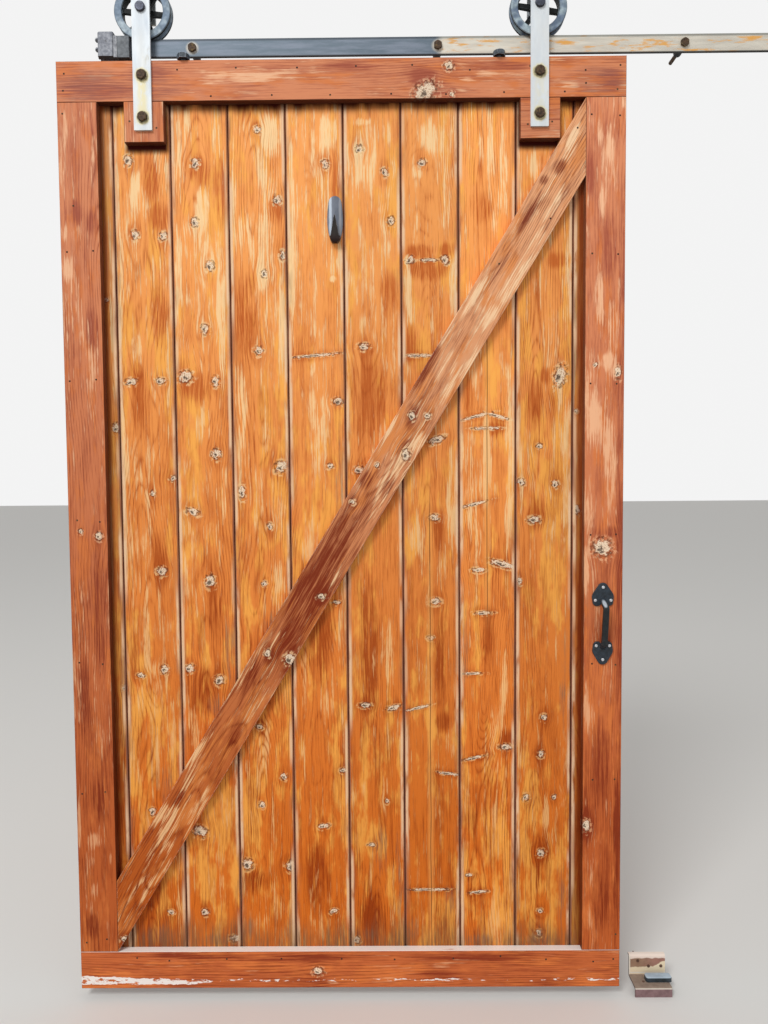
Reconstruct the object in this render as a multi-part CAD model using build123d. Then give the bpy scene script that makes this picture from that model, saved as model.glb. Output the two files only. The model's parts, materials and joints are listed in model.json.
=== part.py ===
from build123d import *
import math
import os

# Sliding plank door on a flat-bar track, in millimetres.
# +Z is up and the door's face looks along -Y. The origin is on the axis of the
# track's first wall bolt, in the plane of the wall that the standoffs bear on.
# Depth is counted from the face of the door's frame boards towards the wall.

# Door leaf
door_width = 1270.0
door_height = 2134.0
board_thickness = 19.0
frame_board_width = 89.0
board_edge_radius = 1.5

# Planks: tongue-and-groove boards with a V at each joint
plank_count = 10
plank_pitch = 130.2
first_plank_width = 116.3
plank_gap = 1.2
vee_size = 3.4
tongue_thickness = 6.0
tongue_length = 6.0
tongue_taper = 0.6
groove_slack = 0.4
groove_end_gap = 1.4
plank_end_lift = 22.0

# Track
rail_length = 2438.0
rail_height = 40.0
rail_thickness = 6.0
rail_edge_chamfer = 0.6
standoff_length = 38.0
standoff_radius = 9.0
wall_bolt_count = 5
wall_bolt_pitch = 551.0
wall_bolt_from_end = 211.5
wall_bolt_radius = 4.75
wall_bolt_flats = 17.0
wall_bolt_thread_radius = 4.4
wall_bolt_thread_length = 42.0
wall_bolt_tip_length = 6.0
wall_bolt_tip_radius = 1.0

# Fasteners and clearances used in several places. A small head is rounded by this share of
# its height, and a cut runs this far past the faces it opens.
bolt_head_height = 6.5
hex_corner_chamfer = 1.2
hole_clearance = 0.25
pilot_clearance = 0.1
head_rounding = 0.7
cut_past = 1.0

# How the leaf hangs on the track
rail_depth = 17.0
rail_to_leaf_gap = 14.5
rail_end_from_leaf = 90.0
hanger_from_edge = 193.5

# Hanger straps: a flat bar bent over the wheel
strap_width = 40.0
strap_thickness = 6.0
strap_gap = 40.0
strap_low_below_top = 154.0
strap_bend_above_hub = 54.0
strap_rear_below_hub = 13.0
strap_corner_radius = 1.5
strap_bolt_radius = 5.0
strap_bolt_flats = 18.0
strap_nut_height = 8.0
thread_past_nut = 2.0
strap_bolts_below_top = (35.0, 126.0)
washer_radius = 13.0
washer_thickness = 2.0
axle_radius = 6.0
axle_head_radius = 11.0
axle_head_height = 6.0
axle_head_edge_radius = 2.0
axle_nut_flats = 19.0
axle_nut_height = 6.0
axle_past_nut = 1.5
axle_spacer_radius = 9.0

# Wheels
wheel_radius = 63.0
wheel_width = 26.0
tread_radius = 57.2
groove_half_width = 4.0
groove_mouth_half_width = 6.2
wheel_edge_chamfer = 1.5
wheel_ring_inner_radius = 46.0
wheel_hub_radius = 17.0
wheel_hub_length = 25.4
hub_edge_chamfer = 1.0
hub_side_gap = 0.3
spoke_count = 6
spoke_root_width = 12.0
spoke_tip_width = 9.0
spoke_depth = 10.0
web_into_rim = 1.0
window_inner_corner = 5.5
window_outer_corner = 3.0
spoke_turn = {"left": -6.0, "right": -9.0}
bush_radius = 9.0
running_clearance = 0.05
wheel_lift = 0.3

# Anti-jump collars on the leaf's top edge
collar_flats = 24.5
collar_height = 10.5
collar_depth = 3.0
collar_hole_off_centre = 6.5
collar_chamfer = 1.6
collar_turn = 8.0
collar_washer_radius = 9.0
collar_washer_thickness = 2.0
collar_from_edge = {"left": 284.5, "right": 282.2}
collar_screw_radius = 3.0
collar_screw_head_radius = 5.2
collar_screw_head_height = 2.4
collar_screw_length = 45.0
collar_screw_socket_flats = 3.6
collar_screw_socket_depth = 1.6
collar_pilot_depth = 40.0

# End stops
stop_from_rail_end = 3.0
stop_body_length = 36.0
stop_body_width = 34.0
stop_body_above_rail = 12.0
stop_body_below_rail = 2.0
stop_body_edge_radius = 4.0
stop_plate_thickness = 7.5
stop_bumper_length = 27.0
stop_bumper_inset = 1.0
stop_bumper_edge_radius = 1.5
stop_bumper_below_rail = 5.0
stop_wheel_clearance = 0.4
stop_bolt_radius = 3.0
stop_bolt_flats = 8.5
stop_bolt_heights = (15.5, -5.5)
stop_bolt_forward = 10.0
stop_bolt_end = 6.0
stop_nut_height = 4.5
stop_bolt_sunk = 5.0
stop_slack = 0.1

# Square blocks under the top rail, behind the straps
block_size = 89.0
block_offset = {"left": 0.4, "right": 2.5}

# Pull handle
handle_from_left = 1224.5
handle_top_tip = 958.0
handle_low_tip = 768.6
handle_top_width = 50.0
handle_low_width = 47.0
handle_plate_length = 53.5
handle_plate_thickness = 4.0
handle_tip_radius = 12.0
handle_cheek_radius = 17.0
handle_cheek_from_tip = 33.0
handle_lobe_radius = 9.0
handle_lobe_inset = 1.5
scallop_radius = 9.0
scallop_depth = 5.0
scallop_corner_radius = 2.5
handle_edge_radius = 1.2
handle_screw_radius = 1.8
handle_screw_length = 18.0
handle_pilot_depth = 15.0
handle_screw_head_radius = 3.6
handle_screw_head_height = 2.2
top_screw_spots = [(0, 10.0), (-17.8, 40.2), (17.8, 40.2)]
low_screw_spots = [(0, 11.8), (-15.2, 44.2), (15.2, 44.2)]

# The grip stands further out at its top than at its foot
grip_top_stand_off = 35.0
grip_low_stand_off = 21.0
grip_thickness = 8.0
grip_width = 13.8
grip_slim = 0.93
neck_from_tip = 39.0
neck_thickness = 10.0
shoulder_drop = 12.0
shoulder_inner_drop = 16.0
foot_rise = 8.5
foot_inner_rise = 15.0
grip_bend_radius = 9.0
grip_inner_bend_radius = 4.5
grip_edge_radius = 1.8

# Oval hook
hook_from_left = 618.0
hook_low = 1732.0
hook_length = 107.5
hook_width = 36.0
hook_top_radius = 14.5
hook_low_radius = 10.5
hook_plate_thickness = 4.0
hook_crown_radius = 70.0
hook_edge_radius = 0.8
tongue_bend_radius = 6.0
tongue_tip_thickness = 2.8
tongue_tip_height = 59.5
tongue_lean = 4.5
tongue_foot_height = 14.5
tongue_root_half_width = 9.6
tongue_tip_half_width = 1.2

# Guide at the foot of the opening
guide_from_left = 1308.0
guide_length = 87.0
guide_thickness = 4.0
guide_top = 45.0
guide_ledge = -4.0
guide_lip = -27.0
guide_face_depth = 50.0
guide_bend_radius = 1.5
guide_lip_depth = 0.0
guide_block_left = 32.0
guide_block_length = 62.0
guide_block_depth = 20.0
guide_block_height = 12.0
guide_block_clearance = 0.6
guide_block_end_radius = 6.0
guide_block_top_radius = 4.0
guide_pin_radius = 2.0
guide_pin_head_radius = 3.0
guide_pin_head_height = 1.6
guide_pin_past_plate = 1.0
guide_pin_place = (26.0, 23.0)
guide_screw_spots = [(21.0, 30.0), (47.0, 17.0), (77.0, 17.0)]
guide_screw_radius = 1.9
guide_screw_head_radius = 3.6
guide_screw_head_height = 1.8
guide_screw_thread_radius = 1.7
guide_screw_reach = 25.0

# Places in the part's own frame
sides = ("left", "right")
rail_back = -standoff_length
rail_front = rail_back - rail_thickness
leaf_front = rail_front - rail_depth
rail_top = rail_height / 2
rail_bottom = -rail_top
rail_left = -wall_bolt_from_end
rail_right = rail_left + rail_length
leaf_left = rail_left - rail_end_from_leaf
leaf_top = rail_bottom - rail_to_leaf_gap
leaf_bottom = leaf_top - door_height
plank_front = leaf_front + board_thickness
leaf_back = plank_front + board_thickness
wheel_plane = (rail_front + rail_back) / 2
hub_height = rail_top + tread_radius + wheel_lift
stile_low = leaf_bottom + frame_board_width
stile_high = leaf_top - frame_board_width
hanger_x = {"left": leaf_left + hanger_from_edge, "right": leaf_left + door_width - hanger_from_edge}
strap_bolt_z = [leaf_top - drop for drop in strap_bolts_below_top]
wall_bolt_x = [wall_bolt_pitch * i for i in range(wall_bolt_count - 1)]
wall_bolt_x.append(rail_right - wall_bolt_from_end)


def facing(depth_y):
    # Sketch plane seen from the front: local x and y are X and Z, and it extrudes towards -Y.
    return Plane(origin=(0, depth_y, 0), x_dir=(1, 0, 0), z_dir=(0, -1, 0))


def rod(x, z, radius, y_front, y_back):
    return extrude(facing(y_back) * Pos(x, z) * Circle(radius), y_back - y_front)


def tube(x, z, radius, bore, y_front, y_back):
    ring = Circle(radius) - Circle(bore)
    return extrude(facing(y_back) * Pos(x, z) * ring, y_back - y_front)


def hexagon(flats):
    return RegularPolygon(flats / 2, 6, major_radius=False)


def hex_block(x, z, flats, y_front, y_back, chamfered):
    # A bolt head or a nut: a hexagon with the corners of its outer face turned off.
    upright = Rot(0, 0, 30) * hexagon(flats)
    prism = extrude(facing(y_back) * Pos(x, z) * upright, y_back - y_front)
    turned = rod(x, z, flats / 2 / math.cos(math.pi / 6), y_front, y_back)
    outer_face = turned.faces().sort_by(Axis.Y)[0 if chamfered == "front" else -1]
    return prism & chamfer(outer_face.edges(), hex_corner_chamfer)


def slab(x0, x1, y0, y1, z0, z1):
    return Pos(x0, y0, z0) * Box(x1 - x0, y1 - y0, z1 - z0, align=(Align.MIN,) * 3)


def front_edges(solid):
    return solid.faces().sort_by(Axis.Y)[0].edges()


def plank(index):
    # Each board's section is drawn across the door and run up its height.
    left = 0.0 if index == 0 else first_plank_width + plank_pitch * (index - 1)
    right = door_width if index == plank_count - 1 else first_plank_width + plank_pitch * index
    x0 = leaf_left + left + (plank_gap / 2 if index else 0.0)
    x1 = leaf_left + right - (plank_gap / 2 if index < plank_count - 1 else 0.0)
    middle = (plank_front + leaf_back) / 2
    half = tongue_thickness / 2
    slot = half + groove_slack / 2
    groove_end = x0 - plank_gap + tongue_length + groove_end_gap
    points = [(x0 + vee_size, plank_front), (x1 - vee_size, plank_front), (x1, plank_front + vee_size)]
    if index < plank_count - 1:
        tip = x1 + tongue_length
        thin = half - tongue_taper
        points += [(x1, middle - half), (tip, middle - thin)]
        points += [(tip, middle + thin), (x1, middle + half)]
    points += [(x1, leaf_back), (x0, leaf_back)]
    if index:
        points += [(x0, middle + slot), (groove_end, middle + slot)]
        points += [(groove_end, middle - slot), (x0, middle - slot)]
    points.append((x0, plank_front + vee_size))
    section = make_face(Polyline(*points, close=True))
    low = leaf_bottom + plank_end_lift
    return Pos(0, 0, low) * extrude(section, leaf_top - low)


def frame_board(x0, x1, z0, z1):
    board = slab(x0, x1, leaf_front, plank_front, z0, z1)
    return fillet(front_edges(board), board_edge_radius)


def diagonal_brace():
    # Lies between the stiles, from the bottom-left to the top-right inner corner, and is
    # cut plumb at both ends. The plumb cut is the width over the sine of its lean, and the
    # lean depends on the cut, so the two are worked out in turn until they settle.
    x0 = leaf_left + frame_board_width
    x1 = leaf_left + door_width - frame_board_width
    run = x1 - x0
    rise = stile_high - stile_low
    lean = math.atan2(run, rise)
    for _ in range(20):
        plumb = frame_board_width / math.sin(lean)
        lean = math.atan2(run, rise - plumb)
    corners = [(x0, stile_low), (x1, stile_high - plumb), (x1, stile_high), (x0, stile_low + plumb)]
    outline = facing(plank_front) * make_face(Polyline(*corners, close=True))
    return fillet(front_edges(extrude(outline, board_thickness)), board_edge_radius)


def hanger_block(side):
    x0 = hanger_x[side] + block_offset[side] - block_size / 2
    return frame_board(x0, x0 + block_size, stile_high - block_size, stile_high)


def drilled(solid, x, z, radius):
    return solid - rod(x, z, radius, leaf_front - cut_past, leaf_back + cut_past)


def hanger_strap(side):
    x = hanger_x[side]
    y_face = leaf_front - strap_thickness
    y_in = leaf_front
    y_rear_in = leaf_front + strap_gap
    y_rear = y_rear_in + strap_thickness
    y_mid = leaf_front + strap_gap / 2
    low = leaf_top - strap_low_below_top
    bend = hub_height + strap_bend_above_hub
    rear_end = hub_height - strap_rear_below_hub
    inner = strap_gap / 2
    outer = inner + strap_thickness
    with BuildPart() as strap:
        with BuildSketch(Plane.YZ.offset(x - strap_width / 2)):
            with BuildLine():
                Line((y_face, low), (y_face, bend))
                ThreePointArc((y_face, bend), (y_mid, bend + outer), (y_rear, bend))
                Polyline((y_rear, bend), (y_rear, rear_end), (y_rear_in, rear_end), (y_rear_in, bend))
                ThreePointArc((y_rear_in, bend), (y_mid, bend + inner), (y_in, bend))
                Polyline((y_in, bend), (y_in, low), (y_face, low))
            make_face()
        extrude(amount=strap_width)
        ends = strap.edges().filter_by(Axis.Y)
        fillet(ends.group_by(Axis.Z)[0], strap_corner_radius)
    axle_hole = axle_radius + hole_clearance
    bolt_hole = strap_bolt_radius + hole_clearance
    solid = strap.part - rod(x, hub_height, axle_hole, y_face - cut_past, y_rear + cut_past)
    for z in strap_bolt_z:
        solid -= rod(x, z, bolt_hole, y_face - cut_past, y_in + cut_past)
    return solid


def strap_bolts(side):
    # Hex bolts from the strap's face to nuts behind the planks.
    seat = leaf_front - strap_thickness - washer_thickness
    reach = leaf_back + washer_thickness + strap_nut_height + thread_past_nut
    bolts = []
    for z in strap_bolt_z:
        shank = rod(hanger_x[side], z, strap_bolt_radius, seat, reach)
        head = hex_block(hanger_x[side], z, strap_bolt_flats, seat - bolt_head_height, seat, "front")
        bolts.append(shank + head)
    return bolts


def strap_washers(side):
    face = leaf_front - strap_thickness
    bore = strap_bolt_radius + hole_clearance
    rings = []
    for z in strap_bolt_z:
        rings.append(tube(hanger_x[side], z, washer_radius, bore, face - washer_thickness, face))
        rings.append(tube(hanger_x[side], z, washer_radius, bore, leaf_back, leaf_back + washer_thickness))
    return rings


def nut(x, z, flats, bore, seat, height):
    hole = rod(x, z, bore, seat - cut_past, seat + height + cut_past)
    return hex_block(x, z, flats, seat, seat + height, "back") - hole


def strap_nuts(side):
    seat = leaf_back + washer_thickness
    nuts = []
    for z in strap_bolt_z:
        nuts.append(nut(hanger_x[side], z, strap_bolt_flats, strap_bolt_radius, seat, strap_nut_height))
    return nuts


def axle_bolt(side):
    x = hanger_x[side]
    seat = leaf_front - strap_thickness
    end = leaf_front + strap_gap + strap_thickness + axle_nut_height + axle_past_nut
    head = rod(x, hub_height, axle_head_radius, seat - axle_head_height, seat)
    head = fillet(front_edges(head), axle_head_edge_radius)
    return head + rod(x, hub_height, axle_radius, seat, end)


def axle_spacers(side):
    # One tube each side of the wheel keeps it in the middle of the strap's fold.
    bore = axle_radius + hole_clearance
    x = hanger_x[side]
    hub_front = wheel_plane - wheel_hub_length / 2 - hub_side_gap
    hub_back = wheel_plane + wheel_hub_length / 2 + hub_side_gap
    front = tube(x, hub_height, axle_spacer_radius, bore, leaf_front, hub_front)
    back = tube(x, hub_height, axle_spacer_radius, bore, hub_back, leaf_front + strap_gap)
    return [front, back]


def axle_nut(side):
    seat = leaf_front + strap_gap + strap_thickness
    return nut(hanger_x[side], hub_height, axle_nut_flats, axle_radius, seat, axle_nut_height)


def spoked_web():
    # Six spokes in one cast plate, with round corners in the windows between them.
    root = spoke_root_width / 2
    tip = spoke_tip_width / 2
    reach = wheel_ring_inner_radius + web_into_rim
    spoke = make_face(Polyline((0, -root), (reach, -tip), (reach, tip), (0, root), close=True))
    windows = Circle(wheel_ring_inner_radius)
    for i in range(spoke_count):
        windows -= Rot(0, 0, i * 360 / spoke_count) * spoke
    corners = windows.vertices().sort_by(lambda v: math.hypot(v.X, v.Y))
    windows = fillet(corners[:spoke_count], window_inner_corner)
    corners = windows.vertices().sort_by(lambda v: math.hypot(v.X, v.Y))
    windows = fillet(corners[-2 * spoke_count:], window_outer_corner)
    return Circle(reach) - windows


def wheel(side):
    # A turned rim with a groove for the rail, on six spokes and a hub.
    half = wheel_width / 2
    edge = wheel_edge_chamfer
    profile = Polyline(
        (wheel_ring_inner_radius, -half + edge),
        (wheel_ring_inner_radius + edge, -half),
        (wheel_radius - edge, -half),
        (wheel_radius, -half + edge),
        (wheel_radius, -groove_mouth_half_width),
        (tread_radius, -groove_half_width),
        (tread_radius, groove_half_width),
        (wheel_radius, groove_mouth_half_width),
        (wheel_radius, half - edge),
        (wheel_radius - edge, half),
        (wheel_ring_inner_radius + edge, half),
        (wheel_ring_inner_radius, half - edge),
        close=True,
    )
    rim = revolve(make_face(profile), Axis.Y)
    hub = extrude(facing(wheel_hub_length / 2) * Circle(wheel_hub_radius), wheel_hub_length)
    hub = chamfer(hub.edges().filter_by(GeomType.CIRCLE), hub_edge_chamfer)
    web = extrude(facing(spoke_depth / 2) * Rot(0, 0, spoke_turn[side]) * spoked_web(), spoke_depth)
    body = rim + hub + web
    body -= extrude(facing(wheel_width) * Circle(bush_radius), 2 * wheel_width)
    return Pos(hanger_x[side], wheel_plane, hub_height) * body


def wheel_bush(side):
    bore = axle_radius + running_clearance
    half = wheel_hub_length / 2
    return tube(hanger_x[side], hub_height, bush_radius, bore, wheel_plane - half, wheel_plane + half)


def collar_screw_place(side):
    edge = collar_from_edge[side]
    x = leaf_left + edge if side == "left" else leaf_left + door_width - edge
    return x, leaf_front + collar_depth + collar_hole_off_centre


def anti_jump_washer(side):
    x, y = collar_screw_place(side)
    ring = Circle(collar_washer_radius) - Circle(collar_screw_radius + hole_clearance)
    return Pos(x, y, leaf_top) * extrude(ring, collar_washer_thickness)


def anti_jump_collar(side):
    # A hexagonal collar on a screw that is off its centre: turned round, it reaches under the
    # rail and keeps the wheels from lifting off. Here it points forward.
    x, y = collar_screw_place(side)
    prism = extrude(Rot(0, 0, collar_turn) * hexagon(collar_flats), collar_height)
    turned = extrude(Circle(collar_flats / 2 / math.cos(math.pi / 6)), collar_height)
    turned = chamfer(turned.faces().sort_by(Axis.Z)[-1].edges(), collar_chamfer)
    body = Pos(0, -collar_hole_off_centre, 0) * (prism & turned)
    body -= extrude(Circle(collar_screw_radius + hole_clearance), collar_height)
    body -= Pos(0, 0, collar_height) * countersink(hole_clearance)
    return Pos(x, y, leaf_top + collar_washer_thickness) * body


def countersink(slack):
    # The cone of a flat-topped screw head, with its top at z = 0.
    low = collar_screw_radius + slack
    high = collar_screw_head_radius + slack
    return Cone(low, high, collar_screw_head_height, align=(Align.CENTER, Align.CENTER, Align.MAX))


def anti_jump_screw(side):
    x, y = collar_screw_place(side)
    top = leaf_top + collar_washer_thickness + collar_height
    shank = Pos(0, 0, -collar_screw_length) * extrude(Circle(collar_screw_radius), collar_screw_length)
    screw = shank + countersink(0.0)
    socket = extrude(hexagon(collar_screw_socket_flats), collar_screw_socket_depth)
    screw -= Pos(0, 0, -collar_screw_socket_depth) * socket
    return Pos(x, y, top) * screw


def track_rail():
    bar = slab(rail_left, rail_right, rail_front, rail_back, rail_bottom, rail_top)
    bar = chamfer(bar.edges().filter_by(Axis.X), rail_edge_chamfer)
    for x in wall_bolt_x:
        bar -= rod(x, 0, wall_bolt_radius + hole_clearance, rail_front - cut_past, rail_back + cut_past)
    return bar


def rail_standoffs():
    bore = wall_bolt_radius + hole_clearance
    return [tube(x, 0, standoff_radius, bore, rail_back, 0) for x in wall_bolt_x]


def wall_bolts():
    # Lag bolts: the plain shank ends at the wall, and the threaded length goes into it.
    bolts = []
    for x in wall_bolt_x:
        head = hex_block(x, 0, wall_bolt_flats, rail_front - bolt_head_height, rail_front, "front")
        shank = rod(x, 0, wall_bolt_radius, rail_front, 0)
        thread = rod(x, 0, wall_bolt_thread_radius, 0, wall_bolt_thread_length)
        into_wall = Plane(origin=(x, wall_bolt_thread_length, 0), z_dir=(0, 1, 0))
        on_end = (Align.CENTER, Align.CENTER, Align.MIN)
        tip = Cone(wall_bolt_thread_radius, wall_bolt_tip_radius, wall_bolt_tip_length, align=on_end)
        bolts.append(head + shank + thread + into_wall * tip)
    return bolts


def at_end(side, solid):
    # End stops are drawn at the rail's left end and mirrored to its right end.
    if side == "left":
        return solid
    middle = (rail_left + rail_right) / 2
    return mirror(solid, Plane(origin=(middle, 0, 0), z_dir=(1, 0, 0)))


def rail_slot():
    # The room for the rail, open downwards, that a stop's pieces straddle it with.
    y0 = rail_front - stop_slack
    y1 = rail_back + stop_slack
    low = rail_bottom - stop_bumper_below_rail - cut_past
    return slab(rail_left - cut_past, stop_end_x + cut_past, y0, y1, low, rail_top + stop_slack)


stop_x0 = rail_left + stop_from_rail_end
stop_x1 = stop_x0 + stop_body_length
stop_bumper_x = stop_x1 + stop_plate_thickness
stop_end_x = stop_bumper_x + stop_bumper_length
stop_front = wheel_plane - stop_body_width / 2
stop_back = wheel_plane + stop_body_width / 2
# The bumper's top corner meets the wheel's rim at the end of the travel.
stop_bumper_top = hub_height - math.sqrt(
    (wheel_radius + stop_wheel_clearance) ** 2 - (leaf_left + hanger_from_edge - stop_end_x) ** 2
)


def stop_bolt_places():
    return [(wheel_plane - stop_bolt_forward, z) for z in stop_bolt_heights]


def along_x(x, y, z):
    return Plane(origin=(x, y, z), x_dir=(0, 1, 0), z_dir=(1, 0, 0))


def stop_holes(solid):
    start = stop_x0 - cut_past
    length = stop_end_x - stop_bolt_sunk - start
    for y, z in stop_bolt_places():
        solid -= extrude(along_x(start, y, z) * Circle(stop_bolt_radius + stop_slack), length)
    return solid


def stop_body(side):
    # A cast saddle over the end of the rail.
    low = rail_bottom - stop_body_below_rail
    body = slab(stop_x0, stop_x1, stop_front, stop_back, low, rail_top + stop_body_above_rail)
    rounded = body.edges().filter_by(Axis.Z) + body.faces().sort_by(Axis.Z)[-1].edges()
    body = fillet(rounded, stop_body_edge_radius)
    return at_end(side, stop_holes(body - rail_slot()))


def stop_plate(side):
    low = rail_bottom - stop_bumper_below_rail
    plate = slab(stop_x1, stop_bumper_x, stop_front, stop_back, low, stop_bumper_top)
    return at_end(side, stop_holes(plate - rail_slot()))


def stop_bumper(side):
    low = rail_bottom - stop_bumper_below_rail
    y0 = stop_front + stop_bumper_inset
    y1 = stop_back - stop_bumper_inset
    bumper = slab(stop_bumper_x, stop_end_x, y0, y1, low, stop_bumper_top)
    bumper = fillet(bumper.edges().filter_by(Axis.Z), stop_bumper_edge_radius)
    return at_end(side, stop_holes(bumper - rail_slot()))


def stop_bolts(side):
    # Each bolt runs along the rail through bumper, plate and body to a nut on the outside.
    bolts = []
    x0 = stop_x0 - stop_bolt_end
    reach = stop_end_x - stop_bolt_sunk - x0
    for y, z in stop_bolt_places():
        shank = extrude(along_x(x0, y, z) * Circle(stop_bolt_radius), reach)
        seat = along_x(stop_x0 - stop_nut_height, y, z)
        end_nut = extrude(seat * hexagon(stop_bolt_flats), stop_nut_height)
        bolts.append(at_end(side, shank + end_nut))
    return bolts


handle_x = leaf_left + handle_from_left
handle_high = leaf_bottom + handle_top_tip
handle_low = leaf_bottom + handle_low_tip


def plate_outline(width):
    # A spade shape hung from its round tip: swelling sides, two lobes and a scallop between.
    cheek_x = width / 2 - handle_cheek_radius
    lobe_x = width / 2 - handle_lobe_radius - handle_lobe_inset
    lobe_y = handle_lobe_radius - handle_plate_length
    rounds = [Pos(0, -handle_tip_radius) * Circle(handle_tip_radius)]
    for side in (-1, 1):
        rounds.append(Pos(side * cheek_x, -handle_cheek_from_tip) * Circle(handle_cheek_radius))
        rounds.append(Pos(side * lobe_x, lobe_y) * Circle(handle_lobe_radius))
    outline = make_hull([disc.edge() for disc in rounds])
    scallop_y = scallop_depth - handle_plate_length - scallop_radius
    outline -= Pos(0, scallop_y) * Circle(scallop_radius)
    corners = [v for v in outline.vertices() if v.Y < lobe_y and abs(v.X) < scallop_radius]
    return fillet(corners, scallop_corner_radius)


def handle_screw_places():
    places = [(handle_x + dx, handle_high - dz) for dx, dz in top_screw_spots]
    places += [(handle_x + dx, handle_low + dz) for dx, dz in low_screw_spots]
    return places


def handle_plates():
    top = Pos(handle_x, handle_high) * plate_outline(handle_top_width)
    low = Pos(handle_x, handle_low) * mirror(plate_outline(handle_low_width), Plane.XZ)
    plates = [extrude(facing(leaf_front) * outline, handle_plate_thickness) for outline in (top, low)]
    return [fillet(front_edges(plate), handle_edge_radius) for plate in plates]


def handle_grip():
    # The bow is drawn from the side, and its width tapers a little towards both ends.
    neck_top = handle_high - neck_from_tip
    neck_low = handle_low + neck_from_tip
    half_neck = neck_thickness / 2
    seat = leaf_front - handle_plate_thickness / 2
    top_out = leaf_front - grip_top_stand_off
    low_out = leaf_front - grip_low_stand_off
    outer = [
        (seat, neck_top + half_neck),
        (top_out, neck_top - shoulder_drop),
        (low_out, neck_low + foot_rise),
        (seat, neck_low - half_neck),
    ]
    inner = [
        (seat, neck_top - half_neck),
        (top_out + grip_thickness, neck_top - shoulder_inner_drop),
        (low_out + grip_thickness, neck_low + foot_inner_rise),
        (seat, neck_low + half_neck),
    ]
    with BuildPart() as bow:
        with BuildSketch(Plane.YZ.offset(handle_x - grip_width / 2)):
            with BuildLine():
                outside = FilletPolyline(*outer, radius=grip_bend_radius)
                inside = FilletPolyline(*inner, radius=grip_inner_bend_radius)
                Line(outside @ 0, inside @ 0)
                Line(outside @ 1, inside @ 1)
            make_face()
        extrude(amount=grip_width)
    middle = (neck_top + neck_low) / 2
    reach = (neck_top - neck_low) / 2 + neck_thickness
    full = grip_width / 2
    slim = full * grip_slim
    swell = Curve() + [
        ThreePointArc((-slim, reach), (-full, 0), (-slim, -reach)),
        Line((-slim, -reach), (slim, -reach)),
        ThreePointArc((slim, -reach), (full, 0), (slim, reach)),
        Line((slim, reach), (-slim, reach)),
    ]
    swell = facing(leaf_front) * Pos(handle_x, middle) * make_face(swell)
    bar = bow.part & extrude(swell, grip_top_stand_off + cut_past)
    # The long edges lie off the middle plane, and those at the ends are hidden in the plates.
    centres = [(edge, edge.center()) for edge in bar.edges()]
    long_edges = [e for e, c in centres if abs(c.X - handle_x) > slim / 2 and c.Y < seat - cut_past]
    return fillet(long_edges, grip_edge_radius)


def pull_handle():
    # One casting: two plates and a bowed grip between them.
    top_plate, low_plate = handle_plates()
    body = top_plate + low_plate + handle_grip()
    face = leaf_front - handle_plate_thickness
    hole = handle_screw_radius + hole_clearance
    for x, z in handle_screw_places():
        body -= rod(x, z, hole, face - cut_past, leaf_front + cut_past)
    return body


def handle_screws():
    screws = []
    seat = leaf_front - handle_plate_thickness
    for x, z in handle_screw_places():
        head = rod(x, z, handle_screw_head_radius, seat - handle_screw_head_height, seat)
        head = fillet(front_edges(head), handle_screw_head_height * head_rounding)
        screws.append(head + rod(x, z, handle_screw_radius, seat, seat + handle_screw_length))
    return screws


def hook_side_arc(end_radius):
    # Two points of an oval's side: half-way along it and where it runs into the end's circle.
    # The side is an arc that stands upright at mid-height.
    half = hook_width / 2
    reach = hook_length / 2 - end_radius
    radius = (half ** 2 + reach ** 2 - end_radius ** 2) / (2 * (half - end_radius))
    turn = math.atan2(reach, radius - half)
    centre = half - radius
    halfway = (centre + radius * math.cos(turn / 2), radius * math.sin(turn / 2))
    meeting = (centre + radius * math.cos(turn), radius * math.sin(turn))
    return halfway, meeting


def hook_outline():
    # An oval that is blunter at the top than at the bottom.
    half = hook_width / 2
    arcs = []
    for up, end_radius in ((1, hook_top_radius), (-1, hook_low_radius)):
        (hx, hz), (mx, mz) = hook_side_arc(end_radius)
        arcs.append(ThreePointArc((-mx, up * mz), (0, up * hook_length / 2), (mx, up * mz)))
        for side in (-1, 1):
            arcs.append(ThreePointArc((side * half, 0), (side * hx, up * hz), (side * mx, up * mz)))
    return make_face(Curve() + arcs)


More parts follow.
